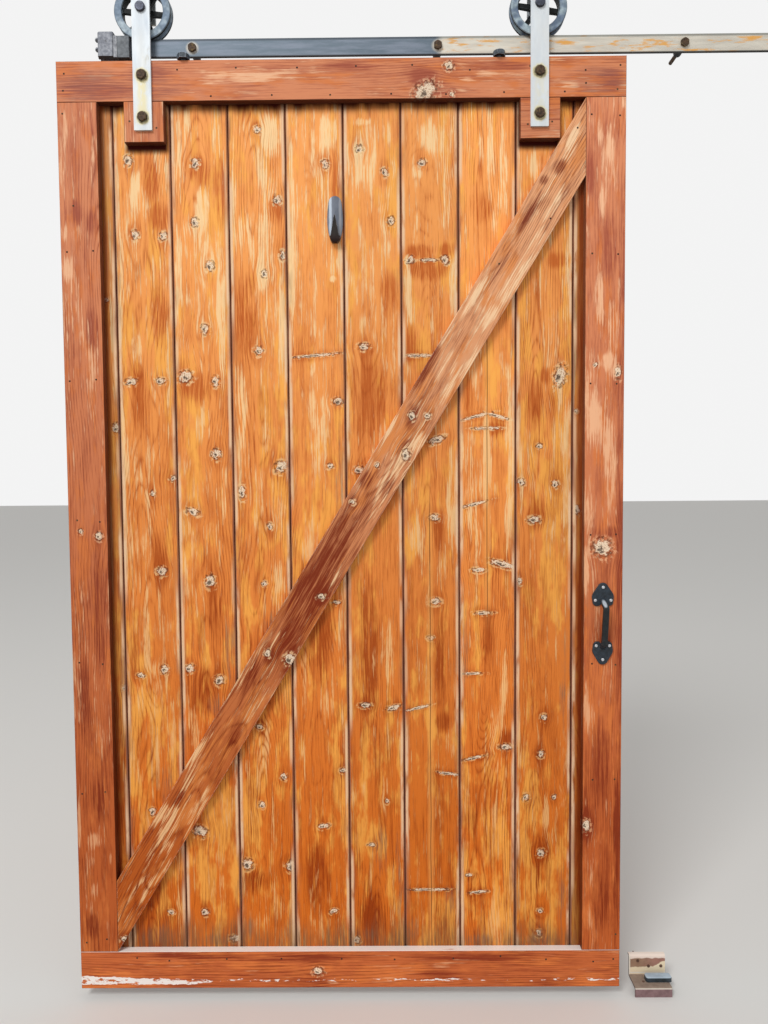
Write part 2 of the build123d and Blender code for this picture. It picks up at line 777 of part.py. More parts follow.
def oval_hook():
    # A crowned oval plate whose lower end turns out and up into a tapered tongue.
    x = leaf_left + hook_from_left
    low = leaf_bottom + hook_low
    outline = Pos(x, low + hook_length / 2) * hook_outline()
    plate = extrude(facing(plank_front) * outline, hook_plate_thickness)
    crown_y = plank_front - hook_plate_thickness + hook_crown_radius
    crown = Cylinder(hook_crown_radius, hook_length + 2 * cut_past)
    plate &= Pos(x, crown_y, low + hook_length / 2) * crown
    plate = fillet(front_edges(plate), hook_edge_radius)
    inner = tongue_bend_radius
    outer = inner + hook_plate_thickness
    mid_y = plank_front - outer
    mid_z = low + outer
    # Below mid_z the strip leaves the plank's face and turns.
    half = hook_width / 2
    plate -= slab(x - half, x + half, crown_y - hook_crown_radius, plank_front, low, mid_z)
    foot_z = low + tongue_foot_height
    tip_z = low + tongue_tip_height
    tip_front = mid_y - outer - tongue_lean
    tip_back = tip_front + tongue_tip_thickness
    with BuildPart() as tongue:
        with BuildSketch(Plane.YZ.offset(x - hook_width / 2)):
            with BuildLine():
                ThreePointArc((mid_y + outer, mid_z), (mid_y, mid_z - outer), (mid_y - outer, mid_z))
                Polyline((mid_y - outer, mid_z), (tip_front, tip_z), (tip_back, tip_z))
                Line((tip_back, tip_z), (mid_y - inner, mid_z))
                ThreePointArc((mid_y - inner, mid_z), (mid_y, mid_z - inner), (mid_y + inner, mid_z))
                Polyline((mid_y + inner, mid_z), (mid_y + inner, foot_z), (mid_y + outer, foot_z))
                Line((mid_y + outer, foot_z), (mid_y + outer, mid_z))
            make_face()
        extrude(amount=hook_width)
    # From the front the bend is as wide as the oval there, and the tongue is a tall wedge.
    root = tongue_root_half_width
    tip = tongue_tip_half_width
    wedge = Polyline((x - root, foot_z), (x + root, foot_z), (x + tip, tip_z), (x - tip, tip_z), close=True)
    above_foot = Pos(x, foot_z + hook_length / 2) * Rectangle(hook_width, hook_length)
    front = (outline - above_foot) + make_face(wedge)
    front = extrude(facing(plank_front) * front, 2 * outer + tongue_lean + cut_past)
    return plate + (tongue.part & front)


def guide_bracket():
    # Bent plate: a flange to the wall, a face, a ledge under the leaf and a lip.
    t = guide_thickness
    face = leaf_front + guide_face_depth
    lip = leaf_front + guide_lip_depth
    top = leaf_bottom + guide_top
    ledge = leaf_bottom + guide_ledge
    low = leaf_bottom + guide_lip
    x0 = leaf_left + guide_from_left
    points = [
        (0, top), (face, top), (face, ledge), (lip, ledge), (lip, low),
        (lip + t, low), (lip + t, ledge - t), (face + t, ledge - t), (face + t, top - t), (0, top - t),
    ]
    section = Plane.YZ.offset(x0) * make_face(Polyline(*points, close=True))
    body = extrude(section, guide_length)
    bends = body.edges().filter_by(Axis.X)
    outer = [(face, top), (lip, ledge), (face + t, ledge - t)]
    body = fillet([e for e in bends if on_any(e, outer)], guide_bend_radius + t)
    inner = [(face + t, top - t), (lip + t, ledge - t), (face, ledge)]
    body = fillet([e for e in body.edges().filter_by(Axis.X) if on_any(e, inner)], guide_bend_radius)
    for x, z in guide_screw_places():
        body -= rod(x, z, guide_screw_radius + hole_clearance, face - cut_past, face + t + cut_past)
    pin_x, pin_y = guide_pin_centre()
    pin_hole = extrude(Circle(guide_pin_radius), t + 2 * cut_past)
    return body - Pos(pin_x, pin_y, ledge - t - cut_past) * pin_hole


def on_any(edge, corners):
    centre = edge.center()
    return any(math.hypot(centre.Y - y, centre.Z - z) < 0.01 for y, z in corners)


def guide_pin_centre():
    dx, dy = guide_pin_place
    return leaf_left + guide_from_left + dx, leaf_front + dy


def guide_screw_places():
    x0 = leaf_left + guide_from_left
    return [(x0 + dx, leaf_bottom + z) for dx, z in guide_screw_spots]


def guide_block():
    # Rides behind the bottom rail's back face and under the planks' ends.
    x0 = leaf_left + guide_from_left + guide_block_left
    x1 = x0 + guide_block_length
    y0 = plank_front + guide_block_clearance
    y1 = y0 + guide_block_depth
    z0 = leaf_bottom + guide_ledge
    block = slab(x0, x1, y0, y1, z0, z0 + guide_block_height)
    block = fillet(block.edges().filter_by(Axis.Z), guide_block_end_radius)
    return fillet(block.faces().sort_by(Axis.Z)[-1].edges(), guide_block_top_radius)


def guide_pin():
    # A small rivet through the ledge, beside the block.
    x, y = guide_pin_centre()
    ledge = leaf_bottom + guide_ledge
    head = extrude(Circle(guide_pin_head_radius), guide_pin_head_height)
    head = fillet(head.faces().sort_by(Axis.Z)[-1].edges(), guide_pin_head_height * head_rounding)
    reach = guide_thickness + guide_pin_past_plate
    shank = Pos(0, 0, -reach) * extrude(Circle(guide_pin_radius), reach)
    return Pos(x, y, ledge) * (head + shank)


def guide_screws():
    # The plain shank ends behind the plate, and the threaded length goes into the wall.
    face = leaf_front + guide_face_depth
    plate_back = face + guide_thickness
    screws = []
    for x, z in guide_screw_places():
        head = rod(x, z, guide_screw_head_radius, face - guide_screw_head_height, face)
        head = fillet(front_edges(head), guide_screw_head_height * head_rounding)
        shank = rod(x, z, guide_screw_radius, face, plate_back)
        thread = rod(x, z, guide_screw_thread_radius, plate_back, guide_screw_reach)
        screws.append(head + shank + thread)
    return screws


def build():
    nodes = {}
    for i in range(plank_count):
        nodes[f"plank_{i + 1:02d}"] = plank(i)
    leaf_right = leaf_left + door_width
    inner_left = leaf_left + frame_board_width
    inner_right = leaf_right - frame_board_width
    nodes["top_rail"] = frame_board(leaf_left, leaf_right, stile_high, leaf_top)
    nodes["bottom_rail"] = frame_board(leaf_left, leaf_right, leaf_bottom, stile_low)
    nodes["left_stile"] = frame_board(leaf_left, inner_left, stile_low, stile_high)
    nodes["right_stile"] = frame_board(inner_right, leaf_right, stile_low, stile_high)
    nodes["diagonal_brace"] = diagonal_brace()
    plank_behind = {"left": "plank_02", "right": "plank_09"}
    bolt_hole = strap_bolt_radius + hole_clearance
    for side in sides:
        x = hanger_x[side]
        upper, lower = strap_bolt_z
        block = f"hanger_block_{side}"
        nodes[block] = drilled(hanger_block(side), x, lower, bolt_hole)
        nodes["top_rail"] = drilled(nodes["top_rail"], x, upper, bolt_hole)
        for z in strap_bolt_z:
            nodes[plank_behind[side]] = drilled(nodes[plank_behind[side]], x, z, bolt_hole)
        nodes[f"hanger_strap_{side}"] = hanger_strap(side)
        nodes[f"strap_bolts_{side}"] = strap_bolts(side)
        nodes[f"strap_washers_{side}"] = strap_washers(side)
        nodes[f"strap_nuts_{side}"] = strap_nuts(side)
        nodes[f"axle_bolt_{side}"] = axle_bolt(side)
        nodes[f"axle_spacers_{side}"] = axle_spacers(side)
        nodes[f"axle_nut_{side}"] = axle_nut(side)
        nodes[f"wheel_{side}"] = wheel(side)
        nodes[f"wheel_bush_{side}"] = wheel_bush(side)
        screw_x, screw_y = collar_screw_place(side)
        pilot = extrude(Circle(collar_screw_radius + pilot_clearance), collar_pilot_depth + cut_past)
        nodes["top_rail"] -= Pos(screw_x, screw_y, leaf_top - collar_pilot_depth) * pilot
        nodes[f"anti_jump_washer_{side}"] = anti_jump_washer(side)
        nodes[f"anti_jump_collar_{side}"] = anti_jump_collar(side)
        nodes[f"anti_jump_screw_{side}"] = anti_jump_screw(side)
        nodes[f"stop_body_{side}"] = stop_body(side)
        nodes[f"stop_plate_{side}"] = stop_plate(side)
        nodes[f"stop_bumper_{side}"] = stop_bumper(side)
        nodes[f"stop_bolts_{side}"] = stop_bolts(side)
    pilot_radius = handle_screw_radius + pilot_clearance
    for x, z in handle_screw_places():
        pilot = rod(x, z, pilot_radius, leaf_front - cut_past, leaf_front + handle_pilot_depth)
        nodes["right_stile"] -= pilot
    nodes["pull_handle"] = pull_handle()
    nodes["handle_screws"] = handle_screws()
    nodes["oval_hook"] = oval_hook()
    nodes["track_rail"] = track_rail()
    nodes["rail_standoffs"] = rail_standoffs()
    nodes["wall_bolts"] = wall_bolts()
    nodes["guide_bracket"] = guide_bracket()
    nodes["guide_block"] = guide_block()
    nodes["guide_pin"] = guide_pin()
    nodes["guide_screws"] = guide_screws()
    return nodes


os.makedirs("parts", exist_ok=True)
for name, shape in build().items():
    solids = []
    for piece in shape if isinstance(shape, list) else [shape]:
        solids += piece.solids()
    whole = Compound(solids) if len(solids) > 1 else solids[0]
    export_step(whole, f"parts/{name}.step")
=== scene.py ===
import math
from functools import partial

import bmesh
import bpy
from mathutils import Matrix, Vector
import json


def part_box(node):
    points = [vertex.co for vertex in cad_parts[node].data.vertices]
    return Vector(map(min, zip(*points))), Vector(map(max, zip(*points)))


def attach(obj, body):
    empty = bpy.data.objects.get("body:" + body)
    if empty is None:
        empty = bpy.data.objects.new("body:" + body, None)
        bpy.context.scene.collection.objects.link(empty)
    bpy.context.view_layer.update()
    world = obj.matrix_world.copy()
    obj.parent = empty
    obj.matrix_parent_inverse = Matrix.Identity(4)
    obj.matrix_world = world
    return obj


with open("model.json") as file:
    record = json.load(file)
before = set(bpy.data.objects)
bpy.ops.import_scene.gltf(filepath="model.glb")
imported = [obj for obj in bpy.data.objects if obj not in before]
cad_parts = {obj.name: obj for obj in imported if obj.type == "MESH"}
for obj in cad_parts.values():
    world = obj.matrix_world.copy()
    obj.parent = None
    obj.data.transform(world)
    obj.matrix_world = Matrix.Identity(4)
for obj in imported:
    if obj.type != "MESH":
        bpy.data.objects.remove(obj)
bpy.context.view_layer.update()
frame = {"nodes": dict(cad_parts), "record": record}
nodes = frame["nodes"]
mm = 0.001
doorFoot = Vector((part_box("left_stile")[0].x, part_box("left_stile")[0].y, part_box("bottom_rail")[0].z))


# Shader helpers

def paint(red, green, blue):
    # a colour as it looks on a screen, 0 to 255, turned into what a shader works in
    def level(part):
        part = part / 255
        return part / 12.92 if part <= 0.04045 else ((part + 0.055) / 1.055) ** 2.4
    return (level(red), level(green), level(blue), 1.0)


def addNode(tree, kind, *values, **settings):
    # the values go into the sockets in their order; None leaves a socket alone
    node = tree.nodes.new("ShaderNode" + kind)
    for name, value in settings.items():
        setattr(node, name, value)
    for socket, value in zip(node.inputs, values):
        plug(value, socket)
    return node


def plug(value, socket):
    if isinstance(value, bpy.types.NodeSocket):
        socket.id_data.links.new(value, socket)
    elif value is not None:
        socket.default_value = value


def treeOf(values):
    return next(value.id_data for value in values if isinstance(value, bpy.types.NodeSocket))


def calc(operation, *values):
    return addNode(treeOf(values), "Math", *values, operation=operation).outputs[0]


def times(product, *values):
    for value in values:
        product = calc("MULTIPLY", product, value)
    return product


def plus(first, second):
    return calc("ADD", first, second)


def minus(first, second):
    return calc("SUBTRACT", first, second)


def sumUp(start, *parts):
    # start, plus each value times its weight
    for value, weight in parts:
        start = calc("MULTIPLY_ADD", value, weight, start)
    return start


def sway(*parts):
    # what sumUp starts from, so that noises whose middle is a half add nothing on average
    return -0.5 * sum(parts)


def vectorCalc(operation, *values):
    return addNode(treeOf(values), "VectorMath", *values, operation=operation).outputs


def remap(value, low, high, start=0.0, end=1.0):
    tree = treeOf((value, low, high))
    return addNode(tree, "MapRange", value, low, high, start, end, interpolation_type="SMOOTHSTEP").outputs[0]


def mix(kind, firstInput, output, amount, first, second, **settings):
    tree = treeOf((amount, first, second))
    node = addNode(tree, "Mix", amount, data_type=kind, **settings)
    plug(first, node.inputs[firstInput])
    plug(second, node.inputs[firstInput + 1])
    return node.outputs[output]


def mixColour(amount, first, second, blend="MIX"):
    return mix("RGBA", 6, 2, amount, first, second, blend_type=blend)


def coat(colour, over, *amounts):
    # lays a colour over another, as thick as the product of the amounts
    return mixColour(times(*amounts), colour, over)


def threeNoises(place, stretch, seed, detail=2.0, roughness=0.5):
    # three fields that have nothing to do with each other, in one colour
    moved = vectorCalc("MULTIPLY_ADD", place, stretch, seed)[0]
    return addNode(moved.id_data, "TexNoise", moved, None, 1.0, detail, roughness).outputs[1]


def noise(*values):
    return threeNoises(*values).node.outputs[0]


def axes(vector):
    return addNode(vector.id_data, "SeparateXYZ", vector).outputs


def between(value, start, full, fullEnd, end):
    # 0, rising to 1, and back to 0
    return times(remap(value, start, full), remap(value, end, fullEnd))


def newGroup(name, inputs, outputs):
    tree = bpy.data.node_groups.new(name, "ShaderNodeTree")
    for way, sockets in (("INPUT", inputs), ("OUTPUT", outputs)):
        for labels, kind in sockets.items():
            for label in labels.split(", "):
                tree.interface.new_socket(name=label, in_out=way, socket_type="NodeSocket" + kind)
    return tree, tree.nodes.new("NodeGroupInput").outputs, tree.nodes.new("NodeGroupOutput").inputs


def useGroup(group, **values):
    node = treeOf(values.values()).nodes.new("ShaderNodeGroup")
    node.node_tree = group
    for name, value in values.items():
        plug(value, node.inputs[name])
    return node.outputs


def newMaterial(name):
    material = bpy.data.materials.new(name)
    material.use_nodes = True
    tree = material.node_tree
    shader = tree.nodes["Principled BSDF"]
    return material, tree, shader


def bump(shader, height, depth, strength):
    node = addNode(height.id_data, "Bump", strength, depth)
    plug(height, node.inputs["Height"])
    plug(node.outputs[0], shader.inputs["Normal"])


def wear(name, material):
    # gives a CAD node or a new piece its one material
    piece = nodes[name] if isinstance(name, str) else name
    piece.data.materials.clear()
    piece.data.materials.append(material)


def facing(place, axis, low, high):
    # 1 where the surface looks along an axis of the piece, told by its normal there
    normal = addNode(place.id_data, "TexCoord").outputs["Normal"]
    return remap(axes(normal)["XYZ".index(axis)], low, high)


# Groups that several materials share

palette = ("Stain", "Stain faded", "Deep", "Deep faded", "Bare", "Bare faded", "Glow", "Grey")
knotPaint = {"pale": paint(243, 224, 196), "fleck": paint(160, 116, 84), "rim": paint(92, 52, 34),
             "pit": paint(62, 42, 34)}


def makeKnotGroup():
    # one knot: bends the grain round itself, and hands on the place inside the nearest knot, in its half sizes
    tree, given, out = newGroup(
        "Knot", {"Place, Whole, Local": "Vector", "Nearest": "Float", "Own, Pull": "Vector", "Narrow": "Float"},
        {"Place, Local": "Vector", "Nearest": "Float"})
    distance = vectorCalc("LENGTH", given["Own"])[1]
    nearer = calc("LESS_THAN", distance, given["Nearest"])
    plug(mix("VECTOR", 4, 1, nearer, given["Local"], given["Own"]), out["Local"])
    plug(calc("MINIMUM", given["Nearest"], distance), out["Nearest"])
    fall = times(calc("EXPONENT", times(distance, distance, -0.16)), given["Narrow"])
    away = vectorCalc("MULTIPLY_ADD", given["Whole"], (-0.5, 0, 0), given["Pull"])[0]
    plug(vectorCalc("MULTIPLY_ADD", away, fall, given["Place"])[0], out["Place"])
    return tree


def makeSpotGroup():
    # one soft spot, joined to those before it
    tree, given, out = newGroup("Soft spot", {"Own": "Vector", "Amount": "Float"}, {"Amount": "Float"})
    distance = vectorCalc("LENGTH", given["Own"])[1]
    plug(calc("MAXIMUM", given["Amount"], remap(distance, 1.5, 0.35)), out["Amount"])
    return tree


def makePineGroup():
    # stained, weathered pine: the grain runs along Z of the place that it is given
    tree, given, out = newGroup(
        "Stained pine", {
            "Place, Whole, Local, Seed": "Vector", "Fade": "Float", ", ".join(palette): "Color",
            "Worn, Dark, Heart, Depth, Rings, Pale spots, Deep spots, Grey spots": "Float"},
        {"Colour": "Color", "Roughness, Height": "Float"})
    place, seed = given["Place"], given["Seed"]
    part = axes(place)
    broad = axes(threeNoises(place, (5, 5, 1.5), seed))
    patch = axes(threeNoises(vectorCalc("ADD", place, (3.1, 0.7, 5.3))[0], (17, 17, 3.4), seed, 3.0, 0.6))
    blotch = axes(threeNoises(vectorCalc("ADD", place, (1.7, 4.9, 2.3))[0], (42, 42, 13), seed, 3.0, 0.6))
    fibre = noise(place, (680, 680, 15), seed, 2.0, 0.6)
    fine = noise(place, (200, 200, 6), seed, 4.0, 0.78)
    wide = noise(place, (54, 54, 3), seed, 2.0)

    # growth rings, cut by the face at a slowly changing distance from the heart of the tree
    across = minus(sumUp(sway(0.05), (broad[0], 0.05), (part[1], 0.5), (part[0], 1.0)), given["Heart"])
    depth = plus(sumUp(sway(0.16), (broad[1], 0.16)), given["Depth"])
    radius = calc("SQRT", calc("MULTIPLY_ADD", across, across, times(depth, depth)))
    field = calc("MULTIPLY_ADD", radius, given["Rings"], times(fine, 0.4))
    rings = calc("POWER", times(calc("PINGPONG", field, 0.5), 2.0), 2.3)
    rings = times(rings, remap(broad[2], 0.35, 0.62, 0.3, 1.0))

    # the nearest knot: a ragged pale body with flecks, a dark pit off its middle, a broken rim, a stained halo
    ragged = threeNoises(given["Whole"], (125, 125, 125), seed, 3.0, 0.6)
    local = vectorCalc("MULTIPLY_ADD", ragged, (1.7, 0, 1.7),
                       vectorCalc("ADD", given["Local"], (-0.85, 0, -0.85))[0])[0]
    fromKnot = vectorCalc("LENGTH", local)[1]
    body = remap(fromKnot, 1.0, 0.7)
    pitOff = vectorCalc("ADD", local, (0.22, 0, 0.2))[0]
    pit = remap(vectorCalc("LENGTH", pitOff)[1], 0.46, 0.2)
    rim = times(between(fromKnot, 0.7, 0.98, 1.02, 1.5), remap(axes(ragged)[1], 0.4, 0.56))
    haloPlace = vectorCalc("MULTIPLY", given["Local"], (0.72, 0, 0.4))[0]
    halo = remap(vectorCalc("LENGTH", haloPlace)[1], 2.0, 0.5)
    fleck = noise(given["Whole"], (430, 430, 330), seed, 2.0)
    collar = times(between(fromKnot, 0.9, 1.15, 1.3, 1.9), remap(axes(ragged)[2], 0.46, 0.6))

    rich = sumUp(0.15 + sway(1.3, 2.9, 1.2), (fibre, 1.3), (fine, 2.9), (wide, 1.2), (rings, 0.3), (halo, 0.36))
    rich = calc("MULTIPLY_ADD", minus(blotch[0], 0.5), 1.1, rich)
    darkPush = times(minus(patch[1], 0.5), times(given["Dark"], 2.0))
    deepPush = times(given["Deep spots"], sumUp(0.1, (fine, 1.1)))
    rich = plus(plus(rich, darkPush), deepPush)
    rich = addNode(tree, "Clamp", rich, 0.0, 1.0).outputs[0]
    # each tone pales upwards: partly a weathered fade, partly painted light from above
    stain, deep, bare = (coat(given[tone], given[tone + " faded"], given["Fade"]) for tone in ("Stain", "Deep", "Bare"))
    glow = sumUp(sway(0.4, 0.9), (wide, 0.4), (patch[2], 1.0), (blotch[2], 0.9))
    glow = times(remap(glow, 0.46, 0.68), 0.7)
    colour = coat(stain, given["Glow"], glow)
    colour = coat(colour, deep, rich)

    worn = sumUp(sway(0.8, 1.8, 0.6, 0.8), (patch[0], 1.0), (fibre, 0.8), (fine, 1.8), (wide, 0.6), (blotch[1], 0.8),
                 (rings, -0.12))
    worn = sumUp(worn, (given["Pale spots"], 0.3), (given["Deep spots"], -0.22), (halo, -0.05), (given["Fade"], 0.05))
    wornLow = calc("MULTIPLY_ADD", given["Worn"], -0.3, 0.76)
    wornMask = remap(worn, wornLow, plus(wornLow, 0.24))
    colour = coat(colour, bare, wornMask, 0.86)

    grey = sumUp(sway(1.6, 0.8), (given["Grey spots"], 0.5), (fine, 1.6), (blotch[1], 0.8))
    grey = times(remap(grey, 0.2, 0.95), 0.75)
    colour = coat(colour, given["Grey"], grey)
    line = remap(sumUp(sway(1.9, 1.0), (rings, 0.7), (fibre, 1.9), (fine, 1.0)), 0.2, 0.9)
    colour = mixColour(times(line, 0.5), colour, (0.55, 0.36, 0.24, 1), "MULTIPLY")

    flecked = mixColour(remap(fleck, 0.5, 0.66), knotPaint["pale"], knotPaint["fleck"])
    for over, amount, most in ((bare, collar, 0.75), (knotPaint["rim"], rim, 0.8), (flecked, body, 0.86),
                               (knotPaint["pit"], pit, 0.85)):
        colour = coat(colour, over, amount, most)
    plug(colour, out["Colour"])
    plug(sumUp(0.42, (wornMask, 0.2), (fibre, 0.12)), out["Roughness"])

    # the relief leaves out the rings and the knots' ragged outline, since a bump works its height out three times
    smooth = vectorCalc("LENGTH", given["Local"])[1]
    groove = between(smooth, 0.7, 0.98, 1.02, 1.5)
    plug(sumUp(0.0, (fibre, 0.6), (groove, -0.5), (remap(smooth, 0.46, 0.2), -1.0)), out["Height"])
    return tree


def makeBoardEdgeGroup():
    # a plank's two long edges: the dark gap, the chamfer beside it, pale on one side as worn arris with a painted
    # highlight, grey dirt beyond
    tree, given, out = newGroup(
        "Board edge", {"Across, Low, High, Gap, Chamfer": "Float", "Place, Seed": "Vector"},
        {"Gap, Chamfer, Pale, Dirt": "Float"})
    wobble = axes(threeNoises(given["Place"], (60, 60, 14), given["Seed"], 3.0))
    side = noise(given["Place"], (0, 0, 3.2), given["Seed"], 1.0)
    frayed = sumUp(sway(0.0022), (wobble[0], 0.0022))
    low = plus(minus(given["Across"], given["Low"]), frayed)
    high = plus(minus(given["High"], given["Across"]), frayed)
    near = calc("MINIMUM", low, high)
    lowSide = calc("LESS_THAN", low, high)
    plug(remap(near, given["Gap"], times(given["Gap"], 0.4)), out["Gap"])

    def reach(far, close):
        # 0 at the first distance from the edge, in chamfers, and 1 at the second
        return remap(near, times(given["Chamfer"], far), times(given["Chamfer"], close))

    plug(reach(1.3, 0.8), out["Chamfer"])
    # the pale side: worn arris with a painted highlight on that chamfer
    wornAndLitSide = mix("FLOAT", 2, 0, lowSide, remap(side, 0.54, 0.46), remap(side, 0.46, 0.54))
    broken = remap(wobble[1], 0.3, 0.52)
    arris = times(reach(0.55, 0.85), reach(3.1, 1.7))
    plug(times(arris, times(wornAndLitSide, broken)), out["Pale"])
    dirt = remap(near, times(given["Chamfer"], 5.0), given["Chamfer"])
    plug(times(dirt, remap(wobble[2], 0.4, 0.66)), out["Dirt"])
    return tree


def makePatchGroup():
    # loose patches of dirt, rust or chipped paint
    tree, given, out = newGroup(
        "Patches", {"Place, Size, Seed": "Vector", "Cover, Soft": "Float"}, {"Mask": "Float"})
    spots = noise(given["Place"], given["Size"], given["Seed"], 5.0, 0.62)
    low = calc("MULTIPLY_ADD", given["Cover"], -0.5, 0.75)
    plug(remap(spots, low, plus(low, given["Soft"])), out["Mask"])
    return tree


def makeEdgeWearGroup():
    # bright or bare metal and wood where edges rub
    tree, given, out = newGroup(
        "Edge wear", {"Place": "Vector", "Radius": "Float", "Seed": "Vector"}, {"Mask": "Float"})
    rounded = addNode(tree, "Bevel", given["Radius"], samples=4).outputs[0]
    straight = addNode(tree, "NewGeometry").outputs["Normal"]
    turned = minus(1.0, vectorCalc("DOT_PRODUCT", rounded, straight)[1])
    edge = remap(turned, 0.01, 0.14)
    broken = remap(noise(given["Place"], (70, 70, 70), given["Seed"], 4.0), 0.38, 0.6)
    plug(times(edge, broken), out["Mask"])
    return tree


def makeSkinGroup():
    # fine uneven surface of cast, rolled or painted metal
    tree, given, out = newGroup(
        "Metal skin", {"Place, Scale, Seed": "Vector"}, {"Mottle, Grit": "Float"})
    plug(remap(noise(given["Place"], given["Scale"], given["Seed"], 4.0, 0.6), 0.32, 0.68), out["Mottle"])
    plug(noise(given["Place"], (1300, 1300, 1300), given["Seed"], 2.0), out["Grit"])
    return tree


knotGroup = makeKnotGroup()
spotGroup = makeSpotGroup()
pineGroup = makePineGroup()
boardEdgeGroup = makeBoardEdgeGroup()
patchGroup = makePatchGroup()
edgeWearGroup = makeEdgeWearGroup()
skinGroup = makeSkinGroup()
print("shader groups:", len(bpy.data.node_groups))


def inHalves(whole, centre, half):
    # the place inside a spot or a knot, in its half sizes; plain sums, since a Mapping node renders slowly
    scale = (1 / half[0], 0, 1 / half[2])
    return vectorCalc("MULTIPLY_ADD", whole, scale, (-centre[0] * scale[0], 0, -centre[2] * scale[2]))[0]


# Boards of the leaf

pineFinish = {
    "plank": {
        "Stain": paint(220, 114, 34), "Stain faded": paint(250, 166, 92),
        "Deep": paint(158, 64, 10), "Deep faded": paint(204, 108, 48),
        "Bare": paint(244, 184, 116), "Bare faded": paint(255, 220, 166),
        "Glow": paint(255, 182, 84), "Grey": paint(136, 104, 84), "bump": 0.0005,
        "rings": 215, "gap": paint(94, 50, 36), "chamfer": paint(150, 104, 90), "chamferPale": paint(242, 206, 168)},
    "frame": {
        "Stain": paint(188, 94, 44), "Stain faded": paint(216, 138, 98),
        "Deep": paint(132, 50, 20), "Deep faded": paint(166, 88, 66),
        "Bare": paint(226, 164, 118), "Bare faded": paint(246, 194, 154),
        "Glow": paint(216, 122, 62), "Grey": paint(146, 94, 84), "bump": 0.0004, "rings": 170,
        "arris": paint(236, 188, 156), "rub": 0.35},
    "brace": {
        "Stain": paint(182, 88, 28), "Stain faded": paint(234, 170, 124),
        "Deep": paint(124, 38, 4), "Deep faded": paint(130, 62, 40),
        "Bare": paint(242, 194, 140), "Bare faded": paint(253, 216, 174),
        "Glow": paint(222, 134, 66), "Grey": paint(112, 92, 84), "bump": 0.0007, "rings": 190,
        "arris": paint(250, 226, 200), "rub": 0.95},
}

